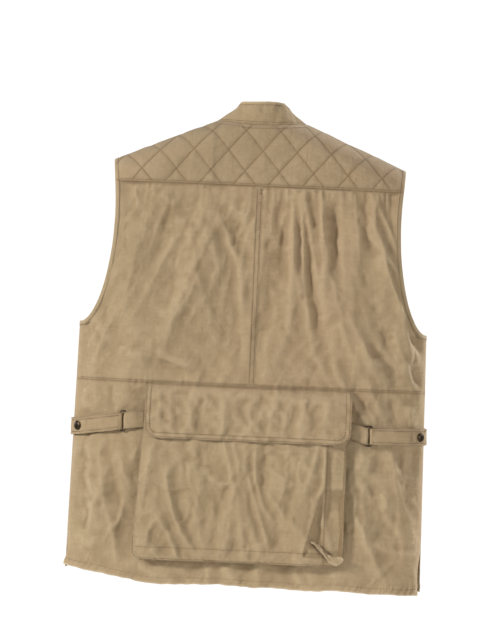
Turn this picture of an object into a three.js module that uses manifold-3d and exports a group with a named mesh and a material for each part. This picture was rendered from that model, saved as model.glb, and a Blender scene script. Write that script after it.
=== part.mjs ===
// Fishing vest hanging from its shoulders, with a quilted yoke, a bellows pocket on the back,
// four front pockets, side adjusters and a separating front zip.
// Millimetres, +Z up. The front faces -Y and the back faces +Y, so the wearer's left is +X.
// The origin is between the two neck points, where a hanger carries the shoulders.
import * as THREE from 'three';
import Module from 'manifold-3d';
import { mergeVertices } from 'three/addons/utils/BufferGeometryUtils.js';

// ---------- driving dimensions: body ----------
const neckHalf = 75;            // neck point, from the centre line
const shoulderHalf = 233;       // shoulder tip, from the centre line
const shoulderSlope = 0.42;     // fall of the shoulder seam per mm across
const chestHalf = 281;          // side seam at the bottom of the armhole
const hemFlare = 9;             // extra half width at the hem
const backDepth = 60;           // centre back, behind the shoulder plane
const frontDepth = 52;          // centre front, ahead of the shoulder plane
const sideRoundness = 4.2;      // power of the body's cross-section: higher is flatter and squarer
const shoulderRound = 45;       // height over which the cloth rolls over the shoulder
const armholeDrop = 336;        // bottom of the armhole, below the neck points
const armholeInset = 7;         // how far the armhole cuts in below the shoulder tip
const armholeWaist = 160;       // height of its narrowest place, below the neck points
const armholeCurve = 1.8;       // power of the lower armhole curve
const backNeckDip = 7;          // dip of the back neckline
const frontNeckDrop = 85;       // depth of the front neckline
const backYokeDrop = 106;       // seam under the back yoke
const frontYokeDrop = 150;      // seam under the front yokes
const waistDrop = 427;          // seam across the lower back
const hemDrop = 748;            // hem, below the neck points

// ---------- driving dimensions: cloth and clearances ----------
const cloth = 2.2;              // body panels: face cloth, lining and their seams
const quilt = 3;                // the padded yoke stands this much each side of its middle
const strapCloth = 1.6;         // straps and bindings
const gap = 0.5;                // between two sewn pieces
const seat = 0.6;               // between a body panel and a piece sewn on it

// ---------- driving dimensions: collar ----------
const collarHeight = 37;
const collarCloth = 2.4;
const collarLeanBack = 10;      // degrees inward at the centre back
const collarLeanSide = 55;      // degrees inward at the neck points
const collarLeanFront = 25;     // degrees inward at the centre front

// ---------- driving dimensions: pockets ----------
const mouthBelowSeam = 17;      // a pocket's mouth, under its flap's seam
const mouthDepth = 8;           // how far a pocket stands out at its mouth
const pocketCloth = 2;
const flapCloth = 1.8;
const backPocket = {
  left: 165, leftFoot: 179, right: 157, rightFoot: 157, height: 264, depth: 16, corner: 14,
};
const backFlap = { left: 166, right: 161, height: 87, corner: 20 };
const chestPocket = { inner: 76, width: 124, seamDrop: 178, height: 132, depth: 15, flap: 50 };
const lowerPocket = { inner: 76, width: 158, seamDrop: 478, height: 214, depth: 18, flap: 62 };
const flapCorner = 14;

// ---------- driving dimensions: snaps ----------
const snapRadius = 7.5;
const snapHeight = 2.4;
const studRadius = 4.5;
const studHeight = 1.7;
const snapGap = 0.5;
const snapAboveFlapEdge = 17;
const flapClear = snapGap + studHeight + gap;   // between a flap and its pocket

// ---------- driving dimensions: side adjusters ----------
const tabHeight = 26;
const tabBelowWaist = 69;       // centre of the tab, under the waist seam
const ringHeight = 34;
const ringWidth = 9;            // between the middles of its two upright bars
const ringWire = 1.2;           // radius
const wireGap = 0.4;            // between the wire and a strap that turns round it
const ringStrapLength = 30;     // from the back pocket's edge to the ring
const foldRadius = ringWire + wireGap + strapCloth / 2;
const ringStandOff = seat + strapCloth / 2 + foldRadius;
const tabEndShort = 3;          // the folded-back end stops this far from the side seam
const tabSnapFromEnd = 10;

// ---------- driving dimensions: front opening ----------
const placketFold = 58;         // the front edges turn back along this line
const placketEdge = 14;         // cloth edge beside the zip
const zipTeethInner = 4.4;      // the zip hangs parted by twice this
const zipTeethWidth = 3.5;
const zipTeethDepth = 2.6;
const zipTapeWidth = 17;
const zipTapeCloth = 0.8;
const zipTopBelowNeck = 6;
const zipFootAboveHem = 8;
const sliderDrop = 560;         // centre of the slider, below the neck points
const sliderLength = 13;
const sliderWidth = 11.5;
const sliderPlate = 1.2;
const sliderGap = 0.5;
const pullLength = 30;
const pullWidth = 6;
const pullThickness = 1.4;

const BACK = 1;
const FRONT = -1;
const SIDES = [['left', 1], ['right', -1]];
const { clamp, degToRad, lerp, smoothstep } = THREE.MathUtils;

const pitZ = -armholeDrop;
const waistZ = -waistDrop;
const hemZ = -hemDrop;

// ---------- materials ----------
const cottonColour = 0xa89170;
const quiltColour = 0xa18a6c;
const trimColour = 0x98815f;
const tapeColour = 0x6b5c46;
const metalColour = 0x2b2622;
const zipColour = 0x8a6f3c;

function material(color, roughness = 0.95, metalness = 0) {
  return new THREE.MeshStandardMaterial({ color, roughness, metalness });
}

// ---------- the vest's outer surface ----------
function ridgeZ(x) {
  const across = Math.abs(x);
  if (across >= neckHalf) return -(across - neckHalf) * shoulderSlope;
  return 0.5 * shoulderSlope * neckHalf * (1 - (across / neckHalf) ** 2);
}

const tipZ = ridgeZ(shoulderHalf);

function bodyHalf(z) {
  return chestHalf + hemFlare * clamp((pitZ - z) / (pitZ - hemZ), 0, 1);
}

function armholeHalf(z) {
  const narrow = shoulderHalf - armholeInset;
  const narrowZ = -armholeWaist;
  if (z > narrowZ) {
    const up = clamp((z - narrowZ) / (tipZ - narrowZ), 0, 1);
    return narrow + armholeInset * up ** 2;
  }
  const down = clamp((narrowZ - z) / (narrowZ - pitZ), 0, 1);
  return narrow + (chestHalf - narrow) * (1 - Math.sqrt(1 - down ** armholeCurve));
}

function edgeHalf(z) {
  return z > pitZ ? armholeHalf(z) : bodyHalf(z);
}

function depthAt(side, x, z) {
  const full = side === BACK ? backDepth : frontDepth;
  const across = Math.sqrt(Math.max(0, 1 - Math.abs(x / bodyHalf(z)) ** sideRoundness));
  const rolled = clamp((ridgeZ(x) - z) / shoulderRound, 0, 1);
  return full * across * Math.sqrt(1 - (1 - rolled) ** 2);
}

function normalAt(side, x, z) {
  const step = 0.05;
  const inward = x - Math.sign(x) * step;
  const slopeX = x === 0 ? 0 : (depthAt(side, x, z) - depthAt(side, inward, z)) / (x - inward);
  const slopeZ = (depthAt(side, x, z) - depthAt(side, x, z - step)) / step;
  return new THREE.Vector3(-slopeX, side, -slopeZ).normalize();
}

function bodyPoint(side, x, z, offset) {
  const point = new THREE.Vector3(x, side * (gap + depthAt(side, x, z)), z);
  return point.addScaledVector(normalAt(side, x, z), offset);
}

function backNeckZ(x) {
  return -backNeckDip * (1 - (x / neckHalf) ** 2);
}

function frontNeckZ(x) {
  return -frontNeckDrop * Math.sqrt(Math.max(0, 1 - (x / neckHalf) ** 2));
}

function topZ(side, x) {
  if (Math.abs(x) >= neckHalf) return ridgeZ(x);
  return side === BACK ? backNeckZ(x) : frontNeckZ(x);
}

// ---------- closed meshes ----------
function closedGeometry(positions, index) {
  let volume = 0;
  const corner = (i) => new THREE.Vector3().fromArray(positions, index[i] * 3);
  for (let i = 0; i < index.length; i += 3) {
    volume += corner(i).dot(corner(i + 1).cross(corner(i + 2)));
  }
  const facing = volume > 0 ? index : [...index].reverse();
  const geometry = new THREE.BufferGeometry();
  geometry.setAttribute('position', new THREE.Float32BufferAttribute(positions, 3));
  geometry.setIndex(facing);
  geometry.computeVertexNormals();
  return geometry;
}

// A slab over a grid: pointAt(column, row, layer) gives its outer (0) and inner (1) points.
function slab(columns, rows, pointAt) {
  const positions = [];
  for (const layer of [0, 1]) {
    for (const row of rows) {
      for (const column of columns) positions.push(...pointAt(column, row, layer).toArray());
    }
  }
  const id = (layer, r, c) => (layer * rows.length + r) * columns.length + c;
  const index = [];
  const quad = (a, b, c, d) => index.push(a, b, c, a, c, d);
  const lastRow = rows.length - 1;
  const lastColumn = columns.length - 1;
  for (let r = 0; r < lastRow; r++) {
    for (let c = 0; c < lastColumn; c++) {
      quad(id(0, r, c), id(0, r + 1, c), id(0, r + 1, c + 1), id(0, r, c + 1));
      quad(id(1, r, c), id(1, r, c + 1), id(1, r + 1, c + 1), id(1, r + 1, c));
    }
  }
  for (let c = 0; c < lastColumn; c++) {
    quad(id(0, 0, c), id(0, 0, c + 1), id(1, 0, c + 1), id(1, 0, c));
    quad(id(0, lastRow, c + 1), id(0, lastRow, c), id(1, lastRow, c), id(1, lastRow, c + 1));
  }
  for (let r = 0; r < lastRow; r++) {
    quad(id(0, r, 0), id(1, r, 0), id(1, r + 1, 0), id(0, r + 1, 0));
    quad(id(0, r, lastColumn), id(0, r + 1, lastColumn), id(1, r + 1, lastColumn), id(1, r, lastColumn));
  }
  return closedGeometry(positions, index);
}

// A section carried along frames {origin, u, v}, joined end to start.
function ring(frames, section) {
  const positions = [];
  for (const { origin, u, v } of frames) {
    for (const [a, b] of section) {
      positions.push(...origin.clone().addScaledVector(u, a).addScaledVector(v, b).toArray());
    }
  }
  const index = [];
  const sides = section.length;
  for (let i = 0; i < frames.length; i++) {
    const next = (i + 1) % frames.length;
    for (let k = 0; k < sides; k++) {
      const other = (k + 1) % sides;
      const [a, b, c, d] = [i * sides + k, i * sides + other, next * sides + other, next * sides + k];
      index.push(a, b, c, a, c, d);
    }
  }
  return closedGeometry(positions, index);
}

const library = await Module();
library.setup();

function toManifold(geometry) {
  const bare = geometry.clone();
  bare.deleteAttribute('normal');
  bare.deleteAttribute('uv');
  const merged = mergeVertices(bare, 1e-4);
  return new library.Manifold(new library.Mesh({
    numProp: 3,
    vertProperties: new Float32Array(merged.attributes.position.array),
    triVerts: new Uint32Array(merged.index.array),
  }));
}

function cutAway(solid, hollow) {
  const mesh = toManifold(solid).subtract(toManifold(hollow)).getMesh();
  return closedGeometry(Array.from(mesh.vertProperties), Array.from(mesh.triVerts));
}

function steps(from, to, count) {
  return Array.from({ length: count + 1 }, (_, i) => lerp(from, to, i / count));
}

// Fractions that crowd towards 1, where the cloth turns round the side of the body.
function crowded(count) {
  return Array.from({ length: count + 1 }, (_, i) => Math.sin((Math.PI / 2) * (i / count)));
}

const vest = new THREE.Group();

function add(name, geometry, look, parent = vest) {
  const mesh = new THREE.Mesh(geometry, look);
  mesh.name = name;
  parent.add(mesh);
  return mesh;
}

// ---------- yokes and body panels ----------
const rollSteps = [0, 0.03, 0.1, 0.22, 0.4, 0.65, 1];

function yokeSlab(side, columns, seamZ) {
  return slab(columns, rollSteps, (x, t, layer) => {
    const z = lerp(topZ(side, x), seamZ + gap / 2, t);
    const across = x * (armholeHalf(z) / shoulderHalf);
    const atNeck = Math.abs(x) <= neckHalf;
    return bodyPoint(side, atNeck ? x : across, z, layer === 0 ? quilt : -quilt);
  });
}

function backYoke() {
  const half = [0, 0.33, 0.66, 0.88, 1].map((s) => s * neckHalf);
  const arm = [0.2, 0.4, 0.6, 0.8, 1].map((s) => lerp(neckHalf, shoulderHalf, s));
  const columns = [...half, ...arm];
  const mirrored = columns.slice(1).reverse().map((x) => -x);
  return yokeSlab(BACK, [...mirrored, ...columns], -backYokeDrop);
}

function frontYoke(sign) {
  const neck = [0, 0.4, 0.7, 0.9, 1].map((s) => lerp(placketFold + gap, neckHalf, s));
  const arm = [0.2, 0.4, 0.6, 0.8, 1].map((s) => lerp(neckHalf, shoulderHalf, s));
  return yokeSlab(FRONT, [...neck, ...arm].map((x) => sign * x), -frontYokeDrop);
}

function panelSlab(side, fractions, innerX, rows, sign) {
  return slab(fractions, rows, (s, z, layer) => {
    const x = sign * lerp(innerX, edgeHalf(z), s);
    return bodyPoint(side, x, z, layer === 0 ? 0 : -cloth);
  });
}

function armholeRows(fromZ) {
  const fractions = [0, 0.25, 0.45, 0.62, 0.76, 0.87, 0.95, 0.985, 1];
  return fractions.map((f) => lerp(fromZ, pitZ, f));
}

function backPanel(sign) {
  const rows = [...armholeRows(-backYokeDrop - gap / 2), ...steps(pitZ, waistZ + gap / 2, 3).slice(1)];
  return panelSlab(BACK, crowded(8), gap / 2, rows, sign);
}

function frontPanel(sign) {
  const rows = [...armholeRows(-frontYokeDrop - gap / 2), ...steps(pitZ, hemZ, 5).slice(1)];
  return panelSlab(FRONT, crowded(7), placketFold + gap, rows, sign);
}

function lowerBackPanel() {
  const half = crowded(8);
  const columns = [...half.slice(1).reverse().map((s) => -s), ...half];
  return slab(columns, steps(waistZ - gap / 2, hemZ, 6), (s, z, layer) => (
    bodyPoint(BACK, s * bodyHalf(z), z, layer === 0 ? 0 : -cloth)
  ));
}

function centreSeam() {
  const seamHalf = 5;
  const thickness = 0.8;
  const rows = steps(-backYokeDrop - gap, waistZ + gap, 6);
  return slab([-seamHalf, 0, seamHalf], rows, (x, z, layer) => (
    bodyPoint(BACK, x, z, layer === 0 ? seat + thickness : seat)
  ));
}

const cotton = material(cottonColour);
const quilted = material(quiltColour);
const trim = material(trimColour);

add('back_yoke', backYoke(), quilted.clone());
add('lower_back_panel', lowerBackPanel(), cotton.clone());
add('centre_back_seam', centreSeam(), trim.clone());
for (const [hand, sign] of SIDES) {
  add(`back_panel_${hand}`, backPanel(sign), cotton.clone());
  add(`front_yoke_${hand}`, frontYoke(sign), quilted.clone());
  add(`front_panel_${hand}`, frontPanel(sign), cotton.clone());
}

// ---------- armhole bindings ----------
function armholeLoop(sign) {
  const seamsZ = [-backYokeDrop, -frontYokeDrop];
  return [BACK, FRONT].flatMap((side, n) => {
    const shoulder = [0.03, 0.1, 0.22, 0.4, 0.65].map((t) => lerp(tipZ, seamsZ[n], t));
    const rows = [...shoulder, ...armholeRows(seamsZ[n]).slice(0, -1)];
    const places = rows.map((z) => ({ side, z, x: sign * armholeHalf(z) }));
    const ends = [{ side, z: tipZ, x: sign * shoulderHalf }, { side, z: pitZ, x: sign * chestHalf }];
    return side === BACK ? [ends[0], ...places] : [ends[1], ...places.reverse()];
  });
}

function armholeBinding(sign) {
  const width = 3.4;
  const clear = 1.2;
  const places = armholeLoop(sign);
  const seam = places.map(({ side, x, z }) => bodyPoint(side, x, z, -cloth / 2));
  const frames = seam.map((origin, i) => {
    const before = seam[(i + seam.length - 1) % seam.length];
    const after = seam[(i + 1) % seam.length];
    const along = after.clone().sub(before).normalize();
    const { side, x, z } = places[i];
    const v = normalAt(side, x, z);
    const u = new THREE.Vector3().crossVectors(along, v).normalize().multiplyScalar(sign);
    return { origin, u, v: new THREE.Vector3().crossVectors(u, along).normalize() };
  });
  const section = [[clear, -2], [clear + width, -2], [clear + width, 2], [clear, 2]];
  return ring(frames, section);
}

for (const [hand, sign] of SIDES) add(`armhole_binding_${hand}`, armholeBinding(sign), trim.clone());

// ---------- collar ----------
// Angles run from the centre back (0) round the neck point (90) to the centre front (180).
const collarBase = quilt + gap;  // clear of the padded neckline

function collarSeam(angle) {
  const a = degToRad(angle);
  const x = neckHalf * Math.sin(a);
  const side = Math.abs(angle) <= 90 ? BACK : FRONT;
  const z = topZ(side, Math.min(Math.abs(x), neckHalf * 0.99999));
  return new THREE.Vector3(x, side * depthAt(side, x, z) + gap * Math.cos(a), z);
}

function collarPoint(angle, height, layer) {
  const seam = collarSeam(angle);
  const middle = Math.abs(angle) <= 90 ? collarLeanBack : collarLeanFront;
  const lean = degToRad(lerp(middle, collarLeanSide, Math.sin(degToRad(angle)) ** 2));
  const outward = new THREE.Vector3(seam.x, seam.y, 0).normalize();
  const rise = new THREE.Vector3(0, 0, Math.cos(lean)).addScaledVector(outward, -Math.sin(lean));
  const face = new THREE.Vector3(0, 0, Math.sin(lean)).addScaledVector(outward, Math.cos(lean));
  return seam.addScaledVector(rise, collarBase + height).addScaledVector(face, -layer * collarCloth);
}

const foldAngle = 180 - THREE.MathUtils.radToDeg(Math.asin(placketFold / neckHalf));
const collarEndAngle = 180 - THREE.MathUtils.radToDeg(Math.asin(placketEdge / neckHalf));
const collarHeights = steps(0, collarHeight, 3);
const collarSplit = 3;          // degrees between the collar and each end that turns back

function collar() {
  const half = [12, 26, 40, 54, 67, 79, 90, 97, 106, 117, foldAngle];
  const angles = [...[...half].reverse().map((angle) => -angle), 0, ...half];
  return slab(angles, collarHeights, collarPoint);
}

function collarEnd(sign) {
  const angles = steps(foldAngle + collarSplit, collarEndAngle, 4).map((angle) => sign * angle);
  return slab(angles, collarHeights, collarPoint);
}

add('collar', collar(), cotton.clone());
for (const [hand, sign] of SIDES) add(`collar_end_${hand}`, collarEnd(sign), cotton.clone());

// ---------- pockets and flaps ----------
function cornerInset(distance, radius) {
  const into = clamp((radius - distance) / radius, 0, 1);
  return radius * (1 - Math.sqrt(1 - into ** 2));
}

function pocketOut(pocket, z) {
  const down = clamp((pocket.mouthZ - z) / (pocket.mouthZ - pocket.footZ), 0, 1);
  return lerp(mouthDepth, pocket.depth, down);
}

function pocketRows(pocket, topLift, footInset) {
  const foot = pocket.footZ + footInset;
  const corner = [0.4, 0.12, 0].map((s) => foot + s * pocket.corner);
  return [...steps(pocket.mouthZ + topLift, foot + pocket.corner, 4), ...corner];
}

// A block on the body between two stand-offs, over a pocket's outline drawn in by inset.
function pocketBlock(pocket, inset, topLift, inner, outer) {
  const rows = pocketRows(pocket, topLift, inset);
  return slab(steps(0, 1, 7), rows, (s, z, layer) => {
    const [low, high] = pocket.edges(z);
    const turn = inset + cornerInset(z - pocket.footZ - inset, pocket.corner);
    const x = lerp(low + turn, high - turn, s);
    return bodyPoint(pocket.side, x, z, layer === 0 ? outer(z) : inner);
  });
}

const hollowDepth = -5;
const hollowLift = 12;

// Face and walls in one piece, open at the mouth and against the body.
function patchPocket(pocket) {
  const solid = pocketBlock(pocket, 0, 0, seat, (z) => pocketOut(pocket, z));
  const hollow = pocketBlock(pocket, pocketCloth, hollowLift, hollowDepth,
    (z) => pocketOut(pocket, z) - pocketCloth);
  return cutAway(solid, hollow);
}

function pocketFace(pocket) {
  const rows = pocketRows(pocket, 0, 0);
  return slab(steps(0, 1, 7), rows, (s, z, layer) => {
    const [low, high] = pocket.edges(z);
    const turn = cornerInset(z - pocket.footZ, pocket.corner);
    const x = lerp(low + turn, high - turn, s);
    return bodyPoint(pocket.side, x, z, pocketOut(pocket, z) - layer * pocketCloth);
  });
}

function pocketGusset(pocket) {
  const wallTop = (z) => pocketOut(pocket, z) - pocketCloth - gap;
  const beyond = 20;
  const solid = pocketBlock(pocket, 0, 0, seat, wallTop);
  const hollow = pocketBlock(pocket, pocketCloth, hollowLift, hollowDepth, (z) => wallTop(z) + beyond);
  return cutAway(solid, hollow);
}

function flapInner(pocket, z) {
  const below = pocket.seamZ - z;
  const standing = flapClear + pocketOut(pocket, z);
  return lerp(seat, standing, smoothstep(below, 0, mouthBelowSeam));
}

function pocketFlap(pocket, flap) {
  const rise = [0.06, 0.25, 0.5, 0.75, 1].map((s) => pocket.seamZ - s * mouthBelowSeam);
  const footZ = pocket.seamZ - flap.height;
  const straight = steps(rise.at(-1), footZ + flap.corner, 2).slice(1);
  const corner = [0.5, 0.15, 0].map((s) => footZ + s * flap.corner);
  return slab(steps(0, 1, 5), [...rise, ...straight, ...corner], (s, z, layer) => {
    const turn = cornerInset(z - footZ, flap.corner);
    const x = lerp(flap.low + turn, flap.high - turn, s);
    return bodyPoint(pocket.side, x, z, flapInner(pocket, z) + (layer === 0 ? flapCloth : 0));
  });
}

const backPouch = {
  side: BACK,
  seamZ: waistZ,
  mouthZ: waistZ - mouthBelowSeam,
  footZ: waistZ - mouthBelowSeam - backPocket.height,
  depth: backPocket.depth,
  corner: backPocket.corner,
  edges(z) {
    const down = clamp((this.mouthZ - z) / (this.mouthZ - this.footZ), 0, 1);
    return [
      -lerp(backPocket.right, backPocket.rightFoot, down),
      lerp(backPocket.left, backPocket.leftFoot, down),
    ];
  },
};
const backFlapShape = {
  low: -backFlap.right, high: backFlap.left, height: backFlap.height, corner: backFlap.corner,
};

add('back_pocket_face', pocketFace(backPouch), cotton.clone());
add('back_pocket_gusset', pocketGusset(backPouch), cotton.clone());
add('back_pocket_flap', pocketFlap(backPouch, backFlapShape), cotton.clone());

function snapPart(radius, height, colour = metalColour) {
  const profile = [[0, 0], [radius, 0], [radius, 0.4 * height], [0.8 * radius, 0.85 * height], [0, height]];
  const geometry = new THREE.LatheGeometry(profile.map(([r, h]) => new THREE.Vector2(r, h)), 10);
  return [geometry, material(colour, 0.35, 0.9)];
}

function placeOnBody(mesh, side, x, z, offset) {
  const up = new THREE.Vector3(0, 1, 0);
  mesh.position.copy(bodyPoint(side, x, z, offset));
  mesh.quaternion.setFromUnitVectors(up, normalAt(side, x, z));
}

function frontPouch(shape, sign) {
  const seamZ = -shape.seamDrop;
  const near = sign * shape.inner;
  const far = sign * (shape.inner + shape.width);
  const mouthZ = seamZ - mouthBelowSeam;
  const [low, high] = [Math.min(near, far), Math.max(near, far)];
  return {
    side: FRONT, seamZ, mouthZ, footZ: mouthZ - shape.height,
    depth: shape.depth, corner: flapCorner, edges: () => [low, high],
  };
}

for (const [hand, sign] of SIDES) {
  for (const [place, shape] of [['chest', chestPocket], ['lower', lowerPocket]]) {
    const pouch = frontPouch(shape, sign);
    const [low, high] = pouch.edges();
    const overhang = 3;
    const flap = { low: low - overhang, high: high + overhang, height: shape.flap, corner: flapCorner };
    add(`${place}_pocket_${hand}`, patchPocket(pouch), cotton.clone());
    add(`${place}_flap_${hand}`, pocketFlap(pouch, flap), cotton.clone());
    const snapX = (low + high) / 2;
    const snapZ = pouch.seamZ - shape.flap + snapAboveFlapEdge;
    const stud = add(`${place}_snap_stud_${hand}`, ...snapPart(studRadius, studHeight));
    placeOnBody(stud, FRONT, snapX, snapZ, pocketOut(pouch, snapZ) + snapGap);
    const cap = add(`${place}_snap_cap_${hand}`, ...snapPart(snapRadius, snapHeight));
    placeOnBody(cap, FRONT, snapX, snapZ, flapInner(pouch, snapZ) + flapCloth + snapGap);
  }
}

// ---------- side adjusters ----------
const tabZ = waistZ - tabBelowWaist;
const tabEdge = bodyHalf(tabZ);
const underLayer = seat + strapCloth / 2;
const overLayer = ringStandOff + foldRadius;
const strapStart = 1.5;         // clear of the pocket's edge

// A strap seen from above, following a line of points, standing tabHeight tall.
function strapAlong(line) {
  const faces = [1, -1].map((way) => line.map((point, i) => {
    const before = line[Math.max(i - 1, 0)];
    const after = line[Math.min(i + 1, line.length - 1)];
    const along = after.clone().sub(before).normalize();
    return new THREE.Vector2(-along.y, along.x).multiplyScalar((way * strapCloth) / 2).add(point);
  }));
  const outline = new THREE.Shape([...faces[0], ...faces[1].reverse()]);
  const geometry = new THREE.ExtrudeGeometry(outline, { depth: tabHeight, bevelEnabled: false });
  return geometry.translate(0, 0, tabZ - tabHeight / 2);
}

function planPoint(x, offset) {
  const point = bodyPoint(BACK, x, tabZ, offset);
  return new THREE.Vector2(point.x, point.y);
}

// Half a turn round an upright wire, from the under layer to the over layer.
function foldRound(barX, towards) {
  const middle = planPoint(barX, ringStandOff);
  const normal = planPoint(barX, ringStandOff + 1).sub(middle);
  const across = new THREE.Vector2(normal.y, -normal.x).multiplyScalar(towards);
  return steps(0, Math.PI, 8).map((turn) => middle.clone()
    .addScaledVector(normal, -foldRadius * Math.cos(turn))
    .addScaledVector(across, foldRadius * Math.sin(turn)));
}

function tabStrap(sign, foldX) {
  const places = crowded(11).reverse().map((s) => lerp(foldX + foldRadius, tabEdge - gap, s));
  const along = places.map((x) => planPoint(sign * x, underLayer));
  return strapAlong([...along, ...foldRound(sign * foldX, -sign)]);
}

function tabEnd(sign, foldX) {
  const places = crowded(10).map((s) => lerp(foldX + 2 * gap, tabEdge - tabEndShort, s));
  return strapAlong(places.map((x) => planPoint(sign * x, overLayer)));
}

function ringStrap(sign, foldX) {
  const start = foldX - ringWidth - ringStrapLength + strapStart;
  const barX = foldX - ringWidth;
  const lapLength = 6;
  const under = steps(start, barX - 4, 3).map((x) => planPoint(sign * x, underLayer));
  const over = [0.3, 0.65, 1].map((s) => (
    planPoint(sign * lerp(barX, start + lapLength, s), lerp(overLayer, underLayer + 2.2, s))
  ));
  return strapAlong([...under, ...foldRound(sign * barX, sign), ...over]);
}

function adjusterRing(sign, foldX) {
  const middleX = sign * (foldX - ringWidth / 2);
  const centre = bodyPoint(BACK, middleX, tabZ, ringStandOff);
  const wireAt = (x) => bodyPoint(BACK, sign * x, tabZ, ringStandOff);
  const across = wireAt(foldX).sub(wireAt(foldX - ringWidth)).normalize();
  const up = new THREE.Vector3(0, 0, 1);
  const out = new THREE.Vector3().crossVectors(across, up);
  const bend = 2.5;
  const [halfWide, halfTall] = [ringWidth / 2, ringHeight / 2 - ringWire];
  const corners = [[1, 1, 0], [-1, 1, 90], [-1, -1, 180], [1, -1, 270]];
  const frames = corners.flatMap(([a, b, from]) => [0, 45, 90].map((turn) => {
    const angle = degToRad(from + turn);
    const u = across.clone().multiplyScalar(Math.cos(angle)).addScaledVector(up, Math.sin(angle));
    const origin = centre.clone().addScaledVector(across, a * (halfWide - bend))
      .addScaledVector(up, b * (halfTall - bend)).addScaledVector(u, bend);
    return { origin, u, v: out };
  }));
  const section = Array.from({ length: 8 }, (_, i) => {
    const turn = (i / 8) * 2 * Math.PI;
    return [ringWire * Math.cos(turn), ringWire * Math.sin(turn)];
  });
  return ring(frames, section);
}

for (const [hand, sign] of SIDES) {
  const [low, high] = backPouch.edges(tabZ);
  const foldX = (sign > 0 ? high : -low) + ringStrapLength + ringWidth;
  add(`waist_tab_${hand}`, tabStrap(sign, foldX), cotton.clone());
  add(`waist_tab_end_${hand}`, tabEnd(sign, foldX), cotton.clone());
  add(`ring_strap_${hand}`, ringStrap(sign, foldX), cotton.clone());
  add(`tab_ring_${hand}`, adjusterRing(sign, foldX), material(metalColour, 0.4, 0.9));
  const snapX = sign * (tabEdge - tabEndShort - tabSnapFromEnd);
  const stud = add(`tab_snap_stud_${hand}`, ...snapPart(studRadius, studHeight));
  placeOnBody(stud, BACK, snapX, tabZ, underLayer + strapCloth / 2 + snapGap);
  const cap = add(`tab_snap_cap_${hand}`, ...snapPart(snapRadius, snapHeight));
  placeOnBody(cap, BACK, snapX, tabZ, overLayer + strapCloth / 2 + snapGap);
}

// ---------- front edges and zip ----------
const tapeOffset = -cloth - gap;
const zipY = -(gap + frontDepth + tapeOffset - zipTapeCloth / 2);
const zipTopZ = -frontNeckDrop - zipTopBelowNeck;
const zipFootZ = hemZ + zipFootAboveHem;
const zipMiddle = zipTeethInner + zipTeethWidth / 2;

function placket(sign) {
  const columns = [1, 0.66, 0.33, 0].map((s) => sign * lerp(placketEdge, placketFold, s));
  return slab(columns, steps(0, 1, 4), (x, t, layer) => (
    bodyPoint(FRONT, x, lerp(frontNeckZ(x), hemZ, t), layer === 0 ? 0 : -cloth)
  ));
}

function box(width, depth, height, x, y, z) {
  return new THREE.BoxGeometry(width, depth, height).translate(x, y, z);
}

function zipTape(sign) {
  const inner = zipTeethInner + zipTeethWidth + 0.3;
  const height = zipTopZ - hemZ - gap;
  return box(zipTapeWidth, zipTapeCloth, height, sign * (inner + zipTapeWidth / 2), zipY,
    hemZ + gap + height / 2);
}

function zipTeeth(sign) {
  const height = zipTopZ - zipFootZ;
  return box(zipTeethWidth, zipTeethDepth, height, sign * zipMiddle, zipY, zipFootZ + height / 2);
}

function zipEnd(inner, depth, lowZ, highZ, sign) {
  const outer = zipTeethInner + zipTeethWidth;
  return box(outer - inner, depth, highZ - lowZ, (sign * (inner + outer)) / 2, zipY, (lowZ + highZ) / 2);
}

const sliderX = zipTeethInner - sliderGap - sliderPlate / 2;
const sliderFace = zipTeethDepth / 2 + sliderGap + sliderPlate;
const crownRadius = 2.3;
const crownHole = 1.3;
const crownRoot = 0.4;          // how far the crown sinks into the slider's face
const crownOut = crownRadius - crownRoot;
const crownWidth = 2.4;
const pullBar = 1.4;
const crownY = zipY - sliderFace - crownOut;

function zipSlider() {
  const plateY = zipTeethDepth / 2 + sliderGap + sliderPlate / 2;
  const overlap = 0.2;
  const plates = [-1, 1].map((way) => box(sliderWidth, sliderPlate, sliderLength, 0, way * plateY, 0));
  const web = box(sliderPlate, 2 * (plateY - overlap), sliderLength, 0, 0, 0);
  const outline = new THREE.Shape().absarc(0, 0, crownRadius, 0, 2 * Math.PI);
  outline.holes.push(new THREE.Path().absarc(0, 0, crownHole, 0, 2 * Math.PI, true));
  const crown = new THREE.ExtrudeGeometry(outline, {
    depth: crownWidth, bevelEnabled: false, curveSegments: 14,
  });
  crown.translate(0, 0, -crownWidth / 2).rotateY(Math.PI / 2).translate(0, -sliderFace - crownOut, 0);
  let solid = toManifold(web);
  for (const piece of [...plates, crown]) solid = solid.add(toManifold(piece));
  const mesh = solid.getMesh();
  return closedGeometry(Array.from(mesh.vertProperties), Array.from(mesh.triVerts));
}

function zipPull() {
  const half = pullWidth / 2;
  const top = pullBar / 2;
  const windowHalf = crownWidth / 2 + sliderGap;
  const windowFoot = -top - crownRadius - 1;
  const outline = new THREE.Shape([
    new THREE.Vector2(-half, top), new THREE.Vector2(-half * 0.8, top - pullLength),
    new THREE.Vector2(half * 0.8, top - pullLength), new THREE.Vector2(half, top),
  ]);
  outline.holes.push(new THREE.Path([
    new THREE.Vector2(-windowHalf, -top), new THREE.Vector2(windowHalf, -top),
    new THREE.Vector2(windowHalf, windowFoot), new THREE.Vector2(-windowHalf, windowFoot),
  ]));
  const plate = new THREE.ExtrudeGeometry(outline, { depth: pullThickness, bevelEnabled: false });
  return plate.translate(0, 0, -pullThickness / 2).rotateX(Math.PI / 2);
}

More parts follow.
